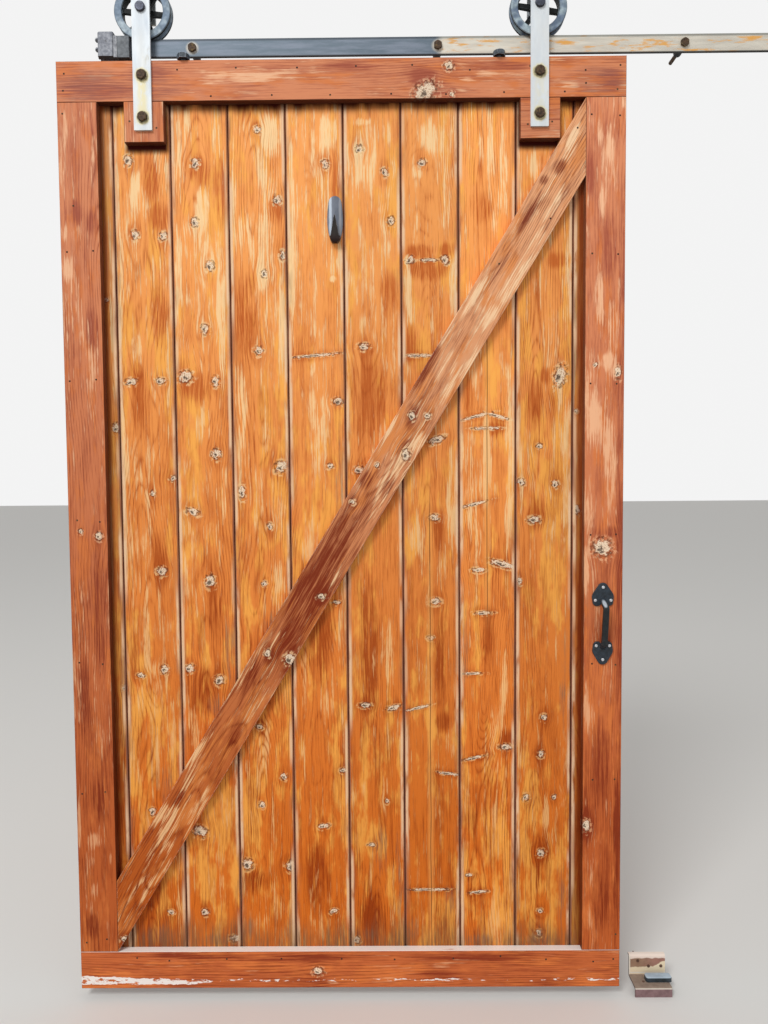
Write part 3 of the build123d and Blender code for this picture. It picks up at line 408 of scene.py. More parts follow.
# knots: mm from the door's left edge, mm above its foot, half width, half height, and turn in degrees if any.
# pale, deep and grey: soft spots where the stain has gone, lies thick or has weathered, with half sizes across and
# along the grain
boards = {
    # plank_01 and plank_10 lie mostly under the stiles: their low tone is a painted shade from the stiles
    "plank_01": {"seed": 3, "worn": 0.16, "dark": 1.0, "tone": 0.7, "stileEdge": (89, 1, 15),
        "knots": [(108, 1321, 9, 11), (93, 1613, 5, 6), (112, 715, 6, 7)],
        "pale": [(105, 1610, 5, 340), (92, 1010, 4, 270)],
        "deep": [(80, 1110, 7, 270), (60, 200, 9, 270)]},
    "plank_02": {"seed": 11, "worn": 0.62, "dark": 0.35, "tone": 1.0,
        "knots": [(150, 1925, 9, 11), (162, 1758, 8, 10), (226, 1755, 8, 9), (146, 1427, 12, 8), (213, 1428, 11, 7),
            (239, 1204, 8, 6), (190, 1170, 6, 7), (206, 989, 11, 10), (208, 758, 9, 10), (151, 744, 9, 6),
            (172, 418, 8, 9), (211, 174, 8, 6)],
        "pale": [(125, 1750, 9, 195), (173, 1840, 26, 60), (150, 1960, 16, 60), (166, 1710, 12, 80),
            (189, 1260, 9, 32), (123, 1200, 6, 205), (148, 690, 12, 55), (221, 600, 9, 80)],
        "deep": [(199, 1885, 20, 55), (218, 1800, 25, 28), (217, 1565, 18, 60), (167, 1385, 20, 80),
            (202, 1015, 18, 70), (160, 250, 32, 70), (160, 80, 50, 110)],
        "grey": [(209, 470, 18, 70), (182, 118, 60, 28)]},
    "plank_03": {"seed": 27, "worn": 0.46, "dark": 0.25, "tone": 1.03,
        "knots": [(302, 1917, 9, 10), (299, 1786, 8, 10), (332, 1687, 9, 11), (317, 1545, 9, 11),
            (271, 1437, 15, 12, 20), (340, 1426, 8, 11), (338, 1260, 10, 12), (281, 1127, 14, 8, -15),
            (319, 965, 10, 14), (266, 760, 12, 9, 20), (336, 732, 10, 11), (284, 370, 16, 12, -15), (291, 173, 8, 8),
            (362, 110, 12, 9)],
        "pale": [(263, 1890, 8, 65), (349, 1985, 12, 55), (311, 1810, 18, 50), (352, 1545, 12, 125),
            (257, 1635, 8, 140), (354, 1160, 7, 70), (288, 1775, 14, 32)],
        "deep": [(313, 1897, 20, 32), (360, 1843, 14, 80), (290, 1410, 36, 36), (292, 710, 32, 50),
            (328, 897, 18, 70)],
        "grey": [(359, 790, 14, 80), (322, 673, 18, 32), (254, 142, 12, 46), (313, 105, 46, 18)]},
    "plank_04": {"seed": 41, "worn": 0.46, "dark": 0.25, "tone": 1.03,
        "knots": [(444, 1989, 9, 8), (487, 1833, 8, 10), (498, 1710, 7, 11), (455, 1668, 8, 9), (440, 1495, 9, 10),
            (396, 1172, 8, 15), (487, 1230, 14, 12, 25), (459, 1092, 6, 8), (444, 959, 6, 6), (428, 620, 8, 6),
            (484, 500, 7, 8), (431, 433, 7, 8), (394, 290, 12, 12), (497, 285, 11, 12)],
        "pale": [(389, 1843, 7, 115), (477, 1982, 25, 50), (415, 1750, 28, 60), (448, 1695, 14, 90),
            (399, 1340, 12, 90), (496, 1540, 9, 140), (483, 945, 12, 50)],
        "deep": [(482, 1810, 18, 28), (412, 1560, 32, 90), (455, 780, 22, 90), (411, 250, 28, 28)],
        "grey": [(461, 860, 18, 50), (395, 134, 14, 32), (492, 129, 12, 46)]},
    "plank_05": {"seed": 52, "worn": 0.44, "dark": 0.3, "tone": 1.04, "rings": 260,
        "knots": [(596, 1912, 8, 9), (572, 1483, 52, 3.5, 5), (620, 1378, 11, 8), (600, 1230, 7, 6),
            (612, 913, 10, 5), (575, 381, 13, 6, 15), (624, 515, 8, 6), (596, 175, 9, 6, 20)],
        "pale": [(519, 1745, 8, 220), (599, 1976, 25, 42), (627, 1630, 6, 205), (574, 1336, 20, 140),
            (552, 1048, 28, 70), (614, 1655, 12, 7)],
        "deep": [(619, 1880, 12, 46), (572, 825, 32, 90), (561, 250, 28, 90)],
        "grey": [(621, 1200, 10, 140), (598, 1060, 18, 42)]},
    "plank_06": {"seed": 63, "worn": 0.4, "dark": 0.5, "tone": 0.99,
        "knots": [(674, 1944, 9, 8), (730, 1893, 8, 9), (745, 1784, 8, 9), (680, 1502, 12, 8), (667, 1220, 12, 9),
            (677, 670, 13, 6), (743, 664, 16, 6, 12), (725, 441, 5, 6), (688, 336, 8, 5), (651, 104, 8, 8)],
        "pale": [(676, 2004, 22, 9), (737, 1980, 12, 32), (685, 1909, 30, 74), (644, 1920, 6, 74),
            (655, 1640, 14, 50), (727, 1290, 14, 42), (735, 812, 16, 88), (721, 455, 12, 50)],
        "deep": [(739, 1627, 18, 50), (694, 1390, 36, 95), (689, 825, 22, 140), (688, 152, 32, 70)],
        "grey": [(713, 323, 22, 65), (750, 250, 9, 140), (668, 118, 32, 20)]},
    "plank_07": {"seed": 77, "worn": 0.38, "dark": 0.6, "tone": 0.97, "pith": (829, 120, 1150), "rings": 250,
        "knots": [(816, 1912, 8, 8), (787, 1696, 9, 9), (833, 1696, 20, 3.5), (867, 1696, 9, 9), (807, 1481, 30, 3.5),
            (847, 1289, 17, 8, 20), (839, 1109, 11, 8), (841, 914, 12, 8), (830, 828, 8, 6), (800, 663, 26, 3.5, 15),
            (870, 506, 24, 3.5, -8), (826, 226, 50, 3.5)],
        "pale": [(834, 1967, 32, 36), (807, 1888, 18, 12), (799, 1830, 12, 125), (872, 1818, 12, 95),
            (780, 1647, 9, 65), (885, 1639, 8, 65), (881, 1150, 12, 140), (875, 593, 14, 55)],
        "deep": [(806, 1716, 32, 14), (876, 1720, 22, 14), (824, 1671, 42, 22), (791, 1505, 20, 42),
            (848, 1073, 14, 42), (852, 786, 12, 88), (858, 629, 18, 22)],
        "grey": [(783, 127, 18, 36), (873, 200, 14, 46)]},
    "plank_08": {"seed": 85, "worn": 0.42, "dark": 0.35, "tone": 1.09, "pith": (962, 880, 1560), "rings": 250,
        "knots": [(940, 1342, 32, 3.5, 14), (985, 1342, 26, 3.5, -16), (962, 1314, 30, 3.5), (935, 1140, 30, 3.5, 14),
            (998, 1000, 30, 7, -16), (942, 987, 14, 6), (955, 886, 18, 5), (929, 744, 22, 3.5),
            (931, 543, 26, 3.5, 12), (1005, 569, 14, 7), (919, 261, 9, 4), (941, 220, 20, 3.5, 6)],
        "pale": [(967, 1940, 9, 140), (999, 1917, 9, 140), (1012, 1262, 12, 230), (1001, 735, 9, 88),
            (985, 171, 16, 92), (962, 1218, 9, 140)],
        "deep": [(951, 1813, 28, 32), (916, 1390, 14, 46), (985, 1314, 18, 20), (1008, 590, 16, 20),
            (962, 823, 18, 70)],
        "grey": [(1001, 564, 18, 9), (913, 823, 7, 140), (944, 102, 46, 16)]},
    "plank_09": {"seed": 98, "worn": 0.44, "dark": 0.45, "tone": 0.97, "rings": 260,
        "knots": [(1129, 1432, 12, 24, -12), (1083, 1272, 8, 6), (1040, 1190, 8, 8), (1119, 1185, 8, 8),
            (1071, 1103, 14, 8), (1037, 960, 6, 8), (1094, 639, 7, 8), (1088, 552, 7, 8), (1052, 448, 8, 9),
            (1119, 448, 6, 6), (1088, 314, 9, 9), (1087, 173, 7, 7), (1084, 119, 7, 8)],
        "pale": [(1057, 1908, 22, 28), (1037, 1828, 6, 140), (1142, 1637, 9, 115), (1129, 1404, 12, 50),
            (1143, 1263, 7, 160), (1040, 1218, 7, 70), (1034, 626, 6, 140), (1049, 212, 12, 140)],
        "deep": [(1123, 1693, 22, 18), (1072, 1378, 18, 55), (1095, 1432, 14, 18), (1080, 1120, 22, 36),
            (1089, 297, 22, 70)],
        "grey": [(1141, 734, 12, 140), (1136, 199, 12, 92), (1089, 102, 46, 16)]},
    "plank_10": {"seed": 103, "worn": 0.2, "dark": 0.8, "tone": 0.7, "stileEdge": (1181, -1, 17),
        "knots": [(1168, 1125, 8, 12), (1166, 1352, 5, 4)],
        "pale": [(1160, 1535, 6, 185), (1159, 1827, 6, 140)],
        "deep": [(1174, 1603, 7, 370), (1179, 680, 7, 460)]},
    "top_rail": {"turn": -90, "seed": 115, "worn": 0.22, "dark": 0.5, "tone": 1.0, "heart": -0.06,
        "knots": [(822, 2061, 26, 17, 32), (876, 2115, 10, 9), (882, 2054, 6, 6)],
        "pale": [(411, 2098, 16, 105), (355, 2086, 9, 46), (500, 2106, 7, 46), (954, 2099, 7, 27), (918, 2084, 5, 18),
            (1145, 2069, 11, 20)],
        "deep": [(75, 2071, 22, 90), (210, 2102, 18, 55), (818, 2092, 20, 27), (656, 2117, 11, 70),
            (1233, 2085, 27, 27), (989, 2114, 11, 70)],
        "grey": [(70, 2085, 50, 110), (215, 2085, 50, 80), (1205, 2085, 50, 80)]},
    "bottom_rail": {"turn": -90, "seed": 128, "worn": 0.1, "dark": 0.4, "tone": 1.22, "fade": 0.14, "heart": 0.09,
        "knots": [(560, 40, 12, 9)],
        "pale": [(595, 13, 9, 18), (1130, 31, 5, 90)],
        "deep": [(518, 72, 9, 115), (282, 76, 7, 135), (942, 73, 9, 135), (848, 30, 11, 46)]},
    "left_stile": {"inner": (1,), "seed": 134, "worn": 0.34, "dark": 0.6, "tone": 1.0, "heart": 0.1,
        "knots": [(69, 1073, 8, 9), (27, 1084, 5, 6)],
        "pale": [(19, 1980, 7, 50), (38, 1995, 7, 40), (65, 2010, 5, 27), (7, 1886, 7, 64), (13, 1760, 14, 20),
            (15, 1676, 11, 27), (41, 357, 16, 20), (76, 316, 4, 18), (42, 239, 14, 22), (6, 384, 5, 70)],
        "deep": [(72, 1782, 11, 27), (32, 1802, 20, 27), (66, 1542, 14, 46), (66, 880, 14, 135), (29, 692, 14, 90),
            (50, 455, 14, 46), (28, 155, 22, 32)]},
    "right_stile": {"inner": (-1,), "seed": 146, "worn": 0.38, "dark": 0.6, "tone": 1.14, "heart": 1.3,
        "knots": [(1223, 1039, 20, 19), (1256, 1437, 7, 14), (1205, 1454, 5, 5), (1189, 389, 9, 13)],
        "pale": [(1217, 1817, 7, 32), (1237, 1930, 9, 32), (1210, 1600, 11, 70), (1229, 1460, 22, 20),
            (1247, 1437, 9, 18), (1191, 1120, 14, 105), (1187, 1000, 9, 60), (1190, 673, 6, 70), (1212, 1973, 7, 32),
            (1205, 1330, 18, 60), (1240, 1230, 14, 80)],
        "deep": [(1190, 1875, 9, 57), (1247, 1074, 14, 14), (1264, 1000, 9, 420), (1262, 330, 8, 260),
            (1264, 1650, 7, 260), (1236, 1710, 18, 70), (1189, 389, 16, 36), (1226, 544, 18, 90), (1223, 210, 18, 70),
            (1228, 825, 18, 46)]},
    "hanger_block_left": {"inner": (-1, 1), "seed": 151, "worn": 0.3, "dark": 0.6, "tone": 0.97, "fade": 1.0,
        "heart": 0.24},
    "hanger_block_right": {"inner": (-1, 1), "turn": -90, "seed": 163, "worn": 0.3, "dark": 0.3, "tone": 0.94,
        "fade": 1.0, "heart": 0.05, "rings": 90},
    "diagonal_brace": {"finish": "brace", "turn": -29.74, "seed": 178, "worn": 0.54, "dark": 0.8, "tone": 1.04,
        "heart": 0.02,
        "knots": [(452, 799, 7, 9), (504, 785, 12, 13), (578, 930, 9, 6), (789, 1342, 8, 9), (824, 1342, 8, 6),
            (709, 1231, 5, 6), (775, 1254, 9, 12), (652, 1148, 6, 6), (105, 120, 9, 7)],
        "pale": [(1152, 1958, 9, 32), (1105, 1805, 9, 55), (1068, 1733, 7, 60), (1021, 1650, 11, 70),
            (967, 1561, 11, 32), (924, 1597, 7, 50), (917, 1451, 7, 60), (869, 1391, 8, 50), (803, 1283, 14, 25),
            (853, 1434, 5, 80), (741, 1315, 4, 34), (696, 1106, 7, 50), (622, 991, 7, 55), (465, 818, 5, 36),
            (345, 575, 7, 27), (282, 568, 11, 46), (197, 423, 11, 32)],
        "deep": [(1123, 1893, 14, 18), (1087, 1865, 9, 11), (1054, 1793, 9, 55), (987, 1667, 7, 50),
            (819, 1445, 14, 64), (733, 1179, 14, 30), (686, 1197, 16, 27), (373, 603, 11, 27), (235, 459, 16, 25),
            (529, 946, 14, 70), (411, 737, 11, 55), (575, 965, 50, 230)]},
}
# the boards turn paler upwards between two heights above the foot: partly a weathered fade, partly painted light from
# above
leaf = {"fadeAndTopLightFrom": 0.15, "fadeAndTopLightTo": 2.05, "width": 1270 * mm, "firstSeam": 116.3 * mm, "pitch": 130.2 * mm,
        "planks": 10,
        "gap": 1.9 * mm, "chamfer": 3.6 * mm, "heartDepth": 0.03, "arris": 2.2 * mm, "gloss": 0.1}


def boardMaterial(name, board):
    look = pineFinish[board.get("finish", "plank" if name.startswith("plank") else "frame")]
    material, tree, shader = newMaterial(name + "_pine")
    turn = math.radians(board.get("turn", 0))
    turned = Matrix.Rotation(turn, 4, "Y")
    place = addNode(tree, "TexCoord").outputs["Object"]
    whole = addNode(tree, "Mapping", place, (turned @ Matrix.Translation(-doorFoot)).translation[:], (0, turn, 0),
                    vector_type="POINT").outputs[0]

    def inBoard(x, z):
        return (turned @ Vector((x * mm, 0, z * mm)))[:]

    bent, nearest, local = whole, 99.0, (99.0, 0, 0)
    for x, z, halfWidth, halfHeight, *knotTurn in board.get("knots", []):
        centre, half = inBoard(x, z), (halfWidth * mm, 1, halfHeight * mm)
        if turn == 0 and not knotTurn:
            own = inHalves(whole, centre, half)
        else:
            own = addNode(tree, "Mapping", whole, centre, (0, turn - math.radians(sum(knotTurn)), 0), half,
                          vector_type="TEXTURE").outputs[0]
            own = vectorCalc("MULTIPLY", own, (1, 0, 1))[0]
        found = useGroup(knotGroup, Place=bent, Whole=whole, Local=local, Nearest=nearest, Own=own,
                         Pull=(0.5 * centre[0], 0, 0), Narrow=min(halfHeight / halfWidth, 1))
        bent, nearest, local = found["Place"], found["Nearest"], found["Local"]
    marks = {}
    for kind in ("Pale", "Deep", "Grey"):
        amount = 0.0
        for x, z, halfWidth, halfHeight in board.get(kind.lower(), []):
            own = inHalves(whole, inBoard(x, z), (halfWidth * mm, 1, halfHeight * mm))
            amount = useGroup(spotGroup, Own=own, Amount=amount)["Amount"]
        marks[kind + " spots"] = amount
    # paler towards the top: partly a weathered fade, partly painted light from above
    fade = board.get("fade") or remap(minus(axes(place)[2], doorFoot.z), leaf["fadeAndTopLightFrom"], leaf["fadeAndTopLightTo"])
    low, high = boardSides(name, inBoard)
    pine = useGroup(
        pineGroup, Place=bent, Whole=whole, Local=local, Seed=(board["seed"],) * 3, Fade=fade, Worn=board["worn"],
        Dark=board["dark"], Heart=board.get("heart", (low + high) / 2), Depth=leaf["heartDepth"],
        Rings=board.get("rings", look["rings"]),
        **marks, **{key: look[key] for key in palette})
    tone = board["tone"]
    colour = mixColour(1.0, pine["Colour"], (tone, tone, tone, 1), "MULTIPLY")

    if "gap" in look:
        edge = useGroup(boardEdgeGroup, Across=axes(whole)[0], Low=low, High=high, Gap=leaf["gap"],
                        Chamfer=leaf["chamfer"],
                        Place=whole, Seed=(board["seed"],) * 3)
        colour = coat(colour, look["Grey"], edge["Dirt"], 0.4)
        colour = coat(colour, look["chamfer"], edge["Chamfer"], 0.7)
        colour = coat(colour, look["chamferPale"], edge["Pale"], 0.85)
        colour = coat(colour, look["gap"], edge["Gap"], sumUp(0.5, (noise(whole, (20, 20, 9), (8, 5, 2), 3.0), 0.75)))
        colour = plankEnds(whole, colour)
        if "stileEdge" in board:
            colour = stileShadow(whole, colour, *board["stileEdge"])
        if "pith" in board:
            colour = pithLine(whole, colour, *board["pith"])
    else:
        rubbed = useGroup(edgeWearGroup, Place=whole, Radius=leaf["arris"], Seed=(board["seed"],) * 3)
        colour = coat(colour, look["arris"], rubbed["Mask"], look["rub"])
        if name != "diagonal_brace":
            colour = jointLine(name, place, colour)
        colour = paintedShadeOnSides(place, board, colour)
    if name == "bottom_rail":
        colour = whitePaint(place, colour)
    plug(colour, shader.inputs["Base Color"])
    plug(pine["Roughness"], shader.inputs["Roughness"])
    shader.inputs["Specular IOR Level"].default_value = leaf["gloss"]
    bump(shader, pine["Height"], look["bump"], 0.6)
    return material


def boardSides(name, inBoard):
    # a plank runs from seam to seam; a frame board only has to know where its middle is
    if not name.startswith("plank"):
        low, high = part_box(name)
        return inBoard((low.x - doorFoot.x) / mm, 0)[0], inBoard((high.x - doorFoot.x) / mm, 0)[0]
    index = int(name[-2:]) - 1
    low = 0 if index == 0 else leaf["firstSeam"] + (index - 1) * leaf["pitch"]
    high = leaf["width"] if index == leaf["planks"] - 1 else leaf["firstSeam"] + index * leaf["pitch"]
    return low, high


# painted shade for undersides, inner sides and the plank beside a stile, and the colour of the dark joint line
sideShadeAndDirt = {"colour": paint(50, 14, 6), "under": 0.92, "side": 0.72, "line": paint(74, 30, 20),
            "lineWidth": 1.5 * mm, "onPlank": paint(112, 38, 8)}


def paintedShadeOnSides(place, board, colour):
    # painted shade on the undersides, and on the sides that face the planks
    dark = times(facing(place, "Z", -0.3, -0.75), sideShadeAndDirt["under"])
    for way in board.get("inner", ()):
        dark = calc("MAXIMUM", dark, times(facing(place, "X", 0.4 * way, 0.8 * way), sideShadeAndDirt["side"]))
    return coat(colour, sideShadeAndDirt["colour"], dark)


def jointLine(name, place, colour):
    # a thin dark line round the front of a board, where it meets its neighbours
    low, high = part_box(name)
    part = axes(place)
    near = calc("MINIMUM", minus(part[0], low.x), minus(high.x, part[0]))
    near = calc("MINIMUM", near, minus(part[2], low.z))
    near = calc("MINIMUM", near, minus(high.z, part[2]))
    width = sideShadeAndDirt["lineWidth"]
    line = times(remap(near, width, width / 3), facing(place, "Y", -0.4, -0.8))
    line = times(line, remap(noise(place, (30, 30, 30), (3, 1, 2), 2.0), 0.3, 0.6))
    return coat(colour, sideShadeAndDirt["line"], line, 0.7)


endShade = {
    "railFoot": 2.051, "shadowAndDirtColour": paint(58, 9, 3), "foot": 0.17, "footFull": 0.08, "footColour": paint(120, 88, 62),
    "blockFoot": 1.958, "blocks": [(0.147, 0.241), (1.031, 1.125)], "soft": 6 * mm}


def plankEnds(whole, colour):
    # painted shadow with dirt under the top rail and the hanger blocks, grey weathering above the bottom rail
    part = axes(whole)
    uneven = axes(threeNoises(whole, (38, 38, 7), (1, 8, 3), 3.0))
    below = minus(endShade["railFoot"], part[2])
    edge = sumUp(0.014, (uneven[0], 0.036))
    # painted shadow and dirt below the top rail
    top = calc("POWER", remap(minus(below, edge), 0.006, -0.03), 1.3)
    for left, right in endShade["blocks"]:
        soft = endShade["soft"]
        inside = between(part[0], left - soft, left + soft, right - soft, right + soft)
        shadowUnderBlock = times(remap(part[2], endShade["blockFoot"] - 0.026, endShade["blockFoot"] - 0.008), inside)
        top = calc("MAXIMUM", top, shadowUnderBlock)
    colour = coat(colour, endShade["shadowAndDirtColour"], times(top, facing(whole, "Y", 0.2, -0.2)))
    height = sumUp(sway(0.14), (part[2], 1.0), (uneven[1], 0.14))
    streaks = remap(noise(whole, (220, 220, 9), (5, 5, 1), 3.0, 0.7), 0.36, 0.62)
    foot = times(remap(height, endShade["foot"], endShade["footFull"]), sumUp(0.2, (streaks, 0.65)))
    return coat(colour, endShade["footColour"], foot)


def stileShadow(whole, colour, edge, inward, reach):
    # painted shadow that a stile casts on the plank beside it
    off = times(minus(axes(whole)[0], edge * mm), inward)
    off = sumUp(sway(0.012), (off, 1.0), (noise(whole, (60, 60, 5), (6, 3, 1), 2.0), 0.012))
    dark = times(remap(off, reach * mm, 0.002), facing(whole, "Y", 0.2, -0.2))
    return coat(colour, sideShadeAndDirt["onPlank"], dark, 0.76)


pith = {"soft": 60 * mm, "band": paint(248, 176, 96), "split": paint(92, 44, 22)}


def pithLine(whole, colour, x, low, high):
    # the dark split and light band along the heart of a plank
    part = axes(whole)
    drift = calc("MULTIPLY_ADD", noise(whole, (0, 0, 4), (7, 7, 7), 2.0), 0.006, x * mm - 0.003)
    off = calc("ABSOLUTE", minus(part[0], drift))
    low, high, soft = low * mm, high * mm, pith["soft"]
    along = between(part[2], low - soft, low + soft, high - soft, high + soft)
    colour = coat(colour, pith["band"], remap(off, 0.012, 0.001), along, 0.4)
    return coat(colour, pith["split"], remap(off, 0.0014, 0.0005), along, 0.75)


ledgePaint = {"white": paint(252, 244, 238), "low": 9, "top": (29, 20), "thin": (15, 20), "fullTo": 250,
              "thinFrom": 330}


def whitePaint(place, colour):
    # old paint on the ledge of the bottom rail, and ragged along its lower arris
    tree = place.id_data
    up = axes(addNode(tree, "NewGeometry").outputs["Normal"])[2]
    dusty = useGroup(patchGroup, Place=place, Size=(9, 60, 60), Seed=(4, 2, 6), Cover=1.15, Soft=0.2)["Mask"]
    ledge = times(remap(up, 0.4, 0.8), times(dusty, 0.97))
    colour = coat(colour, ledgePaint["white"], ledge)
    part = axes(place)
    uneven = axes(threeNoises(place, (34, 34, 60), (2, 8, 5), 4.0, 0.65))
    height = minus(part[2], doorFoot.z)
    along = minus(part[0], doorFoot.x)
    full, thinFrom = ledgePaint["fullTo"] * mm, ledgePaint["thinFrom"] * mm
    atLeft, atFull = ledgePaint["top"]
    thinLow, thinTop = ledgePaint["thin"]
    top = addNode(tree, "MapRange", along, 0.0, full, atLeft * mm, atFull * mm).outputs[0]
    top = plus(top, times(remap(along, full, thinFrom), (thinTop - atFull) * mm))
    low = remap(along, full, thinFrom, ledgePaint["low"] * mm, thinLow * mm)
    ragged = sumUp(sway(0.014), (uneven[0], 0.014))
    band = times(remap(minus(minus(height, low), ragged), 0.0, 0.0012),
                remap(minus(plus(height, ragged), top), 0.0012, 0.0))
    cover = remap(along, full, thinFrom, 0.68, 0.42)
    chips = useGroup(patchGroup, Place=place, Size=(48, 40, 170), Seed=(1, 9, 3), Cover=cover, Soft=0.05)["Mask"]
    band = times(band, facing(place, "Y", 0.2, -0.2))
    return coat(colour, ledgePaint["white"], band, chips)


for name, board in boards.items():
    wear(name, boardMaterial(name, board))
print("boards:", len(boards))


# Metal, rubber and plastic. Values that a finish leaves out are those of the plain metal. One number for the skin's or
# the stain's size stands for three alike. A zone is an axis with where the stain starts, is full, is still full and
# ends; a shift changes the base colour along an axis; the colour for faces that look down is a painted shade

plainMetal = {"rough": 0.5, "metal": 0.2, "cover": 0.3, "soft": 0.2, "edgeAmount": 0.5, "gloss": 0.35}
metalFinish = {
    "strap_zinc": {"base": (214, 226, 238), "mottle": (196, 210, 226), "metal": 0.1, "skin": (60, 60, 14),
        "stain": (176, 166, 120), "cover": 0.36, "soft": 0.22, "size": (34, 34, 16), "edge": (244, 246, 248),
        "shadedUnderside": (26, 20, 18)},
    "worn_bolt": {"base": (88, 66, 48), "mottle": (50, 38, 28), "rough": 0.62, "skin": 260, "stain": (116, 96, 60),
        "cover": 0.42, "soft": 0.15, "size": 150, "edge": (176, 164, 124)},
    "axle_steel": {"base": (78, 82, 96), "mottle": (58, 61, 72), "rough": 0.42, "metal": 0.5, "skin": 160,
        "stain": (60, 52, 46), "soft": 0.15, "size": 90, "edge": (130, 134, 146), "shadedUnderside": (40, 40, 44)},
    "wheel_iron": {"base": (32, 34, 35), "mottle": (20, 22, 23), "gloss": 0.12, "metal": 0.0, "skin": 90,
        "stain": (72, 66, 60), "cover": 0.24, "size": 60, "edge": (120, 126, 132), "edgeAmount": 0.4},
    "bush_bronze": {"base": (96, 80, 56), "mottle": (70, 58, 40), "rough": 0.4, "metal": 0.7, "skin": 150,
        "stain": (60, 48, 34), "cover": 0.35, "size": 120, "edge": (150, 128, 92), "edgeAmount": 0.4},
    "collar_steel": {"base": (86, 94, 102), "mottle": (54, 60, 66), "rough": 0.4, "metal": 0.3, "skin": 150,
        "stain": (66, 58, 52), "soft": 0.15, "size": 110, "edge": (206, 212, 220), "edgeAmount": 0.6,
        "shadedUnderside": (24, 24, 27)},
    "handle_iron": {"base": (50, 60, 70), "mottle": (36, 42, 48), "rough": 0.4, "metal": 0.15, "skin": 120,
        "stain": (66, 62, 66), "size": 110, "edge": (158, 146, 150), "edgeAmount": 0.7,
        "shift": ("Y", -0.075, -0.085, (36, 40, 42), (24, 27, 29))},
    "bright_screw": {"base": (222, 224, 228), "mottle": (186, 190, 196), "rough": 0.32, "metal": 0.6, "skin": 400,
        "stain": (96, 90, 86), "cover": 0.26, "soft": 0.15, "size": 300, "edge": (240, 241, 244)},
    # the shift darkens the hook's tongue, which stands out in front of the oval: a painted shade
    "hook_steel": {"base": (116, 122, 134), "mottle": (92, 98, 110), "rough": 0.34, "metal": 0.3,
        "skin": (60, 60, 26), "stain": (96, 98, 108), "soft": 0.25, "size": (70, 70, 40), "edge": (196, 188, 184),
        "edgeAmount": 0.7, "shift": ("Y", -0.0455, -0.0475, (48, 42, 38), (30, 26, 24))},
    "rail_steel": {"base": (92, 106, 118), "mottle": (122, 132, 146), "rough": 0.46, "metal": 0.25,
        "skin": (12, 40, 90), "stain": (226, 168, 92), "cover": 0.46, "soft": 0.14, "size": (22, 60, 110),
        "zone": ("X", 0.545, 0.58, 1.7, 1.8), "edge": (150, 158, 168), "edgeAmount": 0.4, "shadedUnderside": (26, 28, 32),
        "shift": ("X", 0.545, 0.565, (218, 212, 198), (196, 190, 178))},
    "standoff_black": {"base": (34, 34, 36), "mottle": (24, 24, 26), "skin": 140, "stain": (70, 54, 44),
        "cover": 0.25, "soft": 0.15, "size": 90, "edge": (96, 96, 98)},
    "stop_casting": {"base": (142, 145, 152), "mottle": (108, 111, 120), "skin": 130, "stain": (72, 68, 66),
        "cover": 0.32, "size": 90, "edge": (184, 188, 194), "shadedUnderside": (26, 26, 30)},
    "stop_plate_steel": {"base": (136, 138, 142), "mottle": (100, 102, 108), "rough": 0.45, "metal": 0.3, "skin": 110,
        "stain": (70, 60, 52), "cover": 0.25, "size": 80, "edge": (176, 176, 176), "edgeAmount": 0.6,
        "shadedUnderside": (34, 34, 38)},
    "bumper_rubber": {"base": (128, 133, 138), "mottle": (96, 100, 105), "rough": 0.72, "metal": 0.0, "skin": 90,
        "stain": (110, 108, 104), "cover": 0.28, "soft": 0.25, "size": 70, "edge": (120, 122, 124), "edgeAmount": 0.4,
        "shadedUnderside": (22, 22, 24)},
    "guide_paint": {"base": (134, 116, 102), "mottle": (110, 90, 78), "rough": 0.66, "metal": 0.0, "skin": 70,
        "stain": (84, 62, 52), "size": 60, "edge": (244, 232, 214), "edgeAmount": 0.95},
    "guide_plastic": {"base": (56, 66, 74), "mottle": (36, 44, 46), "rough": 0.4, "metal": 0.0, "skin": 60,
        "stain": (88, 98, 112), "cover": 0.24, "soft": 0.25, "size": 60, "edge": (150, 166, 180), "edgeAmount": 0.6},
}


def evenly(size):
    # one number stands for three that are alike
    return size if isinstance(size, tuple) else (size,) * 3


def metalColour(name, look, place):
    # the plain finish, with its dirt and rubbed edges
    seed = (len(name) * 3.7,) * 3
    skin = useGroup(skinGroup, Place=place, Scale=evenly(look["skin"]), Seed=seed)
    first, second = paint(*look["base"]), paint(*look["mottle"])
    if "shift" in look:
        axis, start, end, base, mottle = look["shift"]
        along = remap(axes(place)["XYZ".index(axis)], start, end)
        first, second = coat(first, paint(*base), along), coat(second, paint(*mottle), along)
    colour = coat(first, second, skin["Mottle"])
    stain = useGroup(patchGroup, Place=place, Size=evenly(look["size"]), Seed=seed, Cover=look["cover"],
                     Soft=look["soft"])["Mask"]
    if "zone" in look:
        axis, start, full, fullEnd, end = look["zone"]
        stain = times(stain, between(axes(place)["XYZ".index(axis)], start, full, fullEnd, end))
    colour = coat(colour, paint(*look["stain"]), stain)
    if "shadedUnderside" in look:
        # painted shade on the faces that look down
        down = facing(place, "Z", -0.1, -0.7)
        colour = coat(colour, paint(*look["shadedUnderside"]), down, 0.9)
    rubbed = useGroup(edgeWearGroup, Place=place, Radius=1.2 * mm, Seed=seed)["Mask"]
    colour = coat(colour, paint(*look["edge"]), rubbed, look["edgeAmount"])
    return colour, stain, skin


